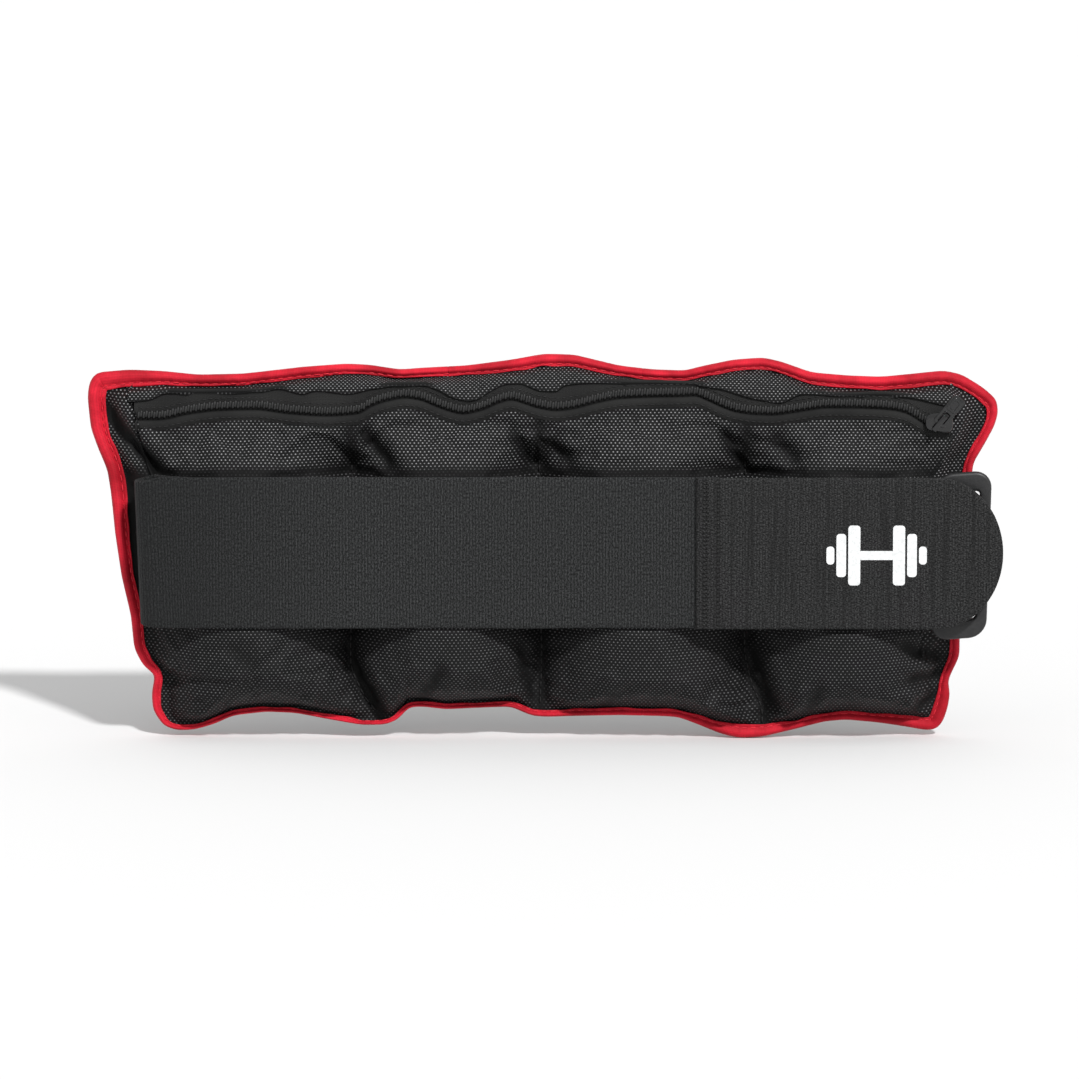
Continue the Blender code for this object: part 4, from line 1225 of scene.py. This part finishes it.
RING_Y = MID_Y - 16.2
BAR_X = 130.7
WRAP = 2.8
web = [(x, on_cloth(x, (48.0, 62.0, 76.0))) for x in (107, 111, 115, 119, 122)]
inner = [(x, y - 0.9) for x, y in web]
wrap = [(BAR_X + WRAP * math.sqrt(abs(math.cos(a))),
         RING_Y + WRAP * math.copysign(math.sqrt(abs(math.sin(a))), math.sin(a)))
        for a in np.radians(np.linspace(90, -90, 15))]
outer = [(x, max(y - 1.9, -13.3)) for x, y in reversed(web)]
outer[0] = (outer[0][0], min(outer[0][1], RING_Y - 2.6))
webbing = strip_along("ring_webbing_loop", inner + wrap + outer, 42.5, 83.2, 0.8, WEB, rows=16)
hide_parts("ring_webbing")
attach(webbing, "pouch_4")

SLIDER_X, PULLER_ANGLE = 131.0, math.radians(50)
SLIDER_BACK = -4.325


def along_puller(points):
    """(across, along) places on the puller as (x, z), turned to where it hangs."""
    c, s = math.cos(PULLER_ANGLE), math.sin(PULLER_ANGLE)
    return [(SLIDER_X + a * s + b * c, ZIP_Z - a * c + b * s) for a, b in points]


def slider_outline():
    """The slider's plate from above: broad shoulders at the open end, narrower at the closed end."""
    half = ((-4.6, 0.9), (-4.35, 1.9), (-3.7, 2.6), (-2.7, 3.0), (-1.4, 3.15), (0.0, 3.3), (1.4, 3.5),
            (2.6, 3.5), (3.6, 3.1), (4.3, 2.3), (4.6, 1.2))
    return [(SLIDER_X + x, ZIP_Z + z) for x, z in half + tuple((x, -z) for x, z in reversed(half))]


pieces = [plate("slider_plate", slider_outline(), None, SLIDER_BACK - 1.7, SLIDER_BACK, 0.75, ENAMEL)]
bar = SLIDER_BACK - 3.35
for name, low, high, near, far, broad in (("low", -3.3, -2.5, bar - 0.6, SLIDER_BACK - 1.2, 0.75),
                                          ("high", 2.5, 3.3, bar - 0.6, SLIDER_BACK - 1.2, 0.75),
                                          ("bar", -3.2, 3.2, bar - 0.75, bar - 0.05, 0.8)):
    loop = along_puller([(broad, low), (broad, high), (-broad, high), (-broad, low)])
    pieces.append(plate(f"slider_{name}", loop, None, near, far, 0.28, ENAMEL, 3))
slider = join(pieces, "zip_slider_body")
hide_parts("zip_slider")
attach(slider, "slider")


def ring_loop(half_width, low, high, radius):
    return along_puller(rounded(-half_width, half_width, low, high, radius, 6))


PULLER_Y = -6.875
puller = plate("zip_puller_tab", ring_loop(2.3, -0.7, 10.9, 0.9), ring_loop(1.25, 0.6, 4.2, 0.4),
               PULLER_Y - 0.45, PULLER_Y + 0.45, 0.28, ENAMEL)
grip = plate("puller_grip", ring_loop(1.75, 5.2, 10.2, 0.8), ring_loop(0.95, 6.2, 9.2, 0.6),
             PULLER_Y - 0.8, PULLER_Y + 0.3, 0.25, ENAMEL, 3)
puller = join([puller, grip], "zip_puller_tab")
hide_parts("zip_puller")
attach(puller, "puller")

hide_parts("zip_end_patch_left")
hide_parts("zip_end_patch_right")
for name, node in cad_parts.items():
    finish = {"weight_bag": NYLON, "iron_sand": SAND}.get(name.rsplit("_", 1)[0])
    if finish:
        node.data.materials.clear()
        node.data.materials.append(finish)

# ---------------------------------------------------------------- studio

FLOOR_ALBEDO, SKY_STRENGTH, SUN_STRENGTH = 0.655, 0.81, 3.66
SUN_FROM = Vector((0.445, -1.12, 1.0))


def stage_piece(name, **inputs):
    """Names the mesh that was just added, for the stage, and gives it its own finish."""
    obj = bpy.context.object
    obj.name = name
    material = bpy.data.materials.new(name)
    material.use_nodes = True
    for key, value in inputs.items():
        material.node_tree.nodes["Principled BSDF"].inputs[key.replace("_", " ")].default_value = value
    obj.data.materials.append(material)
    return obj


bpy.ops.mesh.primitive_plane_add(size=12)
stage_piece("floor", Base_Color=(FLOOR_ALBEDO, FLOOR_ALBEDO, FLOOR_ALBEDO, 1), Roughness=0.9,
            Specular_IOR_Level=0.1)
# A white dome round the stage, which only the camera sees, so it lights nothing
bpy.ops.mesh.primitive_uv_sphere_add(segments=48, ring_count=24, radius=5.5)
dome = stage_piece("backdrop", Base_Color=(0, 0, 0, 1), Emission_Color=(1, 1, 1, 1), Emission_Strength=1.0)
dome.visible_diffuse = dome.visible_glossy = dome.visible_shadow = dome.visible_transmission = False

world = bpy.data.worlds.new("studio")
bpy.context.scene.world = world
world.use_nodes = True
world.node_tree.nodes["Background"].inputs["Color"].default_value = (1, 1, 1, 1)
world.node_tree.nodes["Background"].inputs["Strength"].default_value = SKY_STRENGTH
bpy.context.scene.view_settings.view_transform = "Standard"

sun_data = bpy.data.lights.new("key", "SUN")
sun_data.energy = SUN_STRENGTH
sun_data.angle = math.radians(5)
sun = bpy.data.objects.new("key", sun_data)
sun.rotation_euler = SUN_FROM.to_track_quat("Z", "Y").to_euler()
bpy.context.scene.collection.objects.link(sun)

camera_data = bpy.data.cameras.new("camera")
camera = bpy.data.objects.new("camera", camera_data)
bpy.context.scene.collection.objects.link(camera)
bpy.context.scene.camera = camera
DISTANCE, ELEVATION = 2.6, math.radians(8)
AIM = Vector((-1.5 * MM, -5 * MM, 68.2 * MM))
SENSOR, SEEN_WIDTH, STRAP_FORWARD = 36, 0.3597, 0.009
camera.location = AIM + Vector((0, -math.cos(ELEVATION), math.sin(ELEVATION))) * DISTANCE
camera.rotation_euler = (AIM - camera.location).to_track_quat("-Z", "Y").to_euler()
camera_data.sensor_width = SENSOR
camera_data.lens = SENSOR * (DISTANCE + STRAP_FORWARD) / SEEN_WIDTH
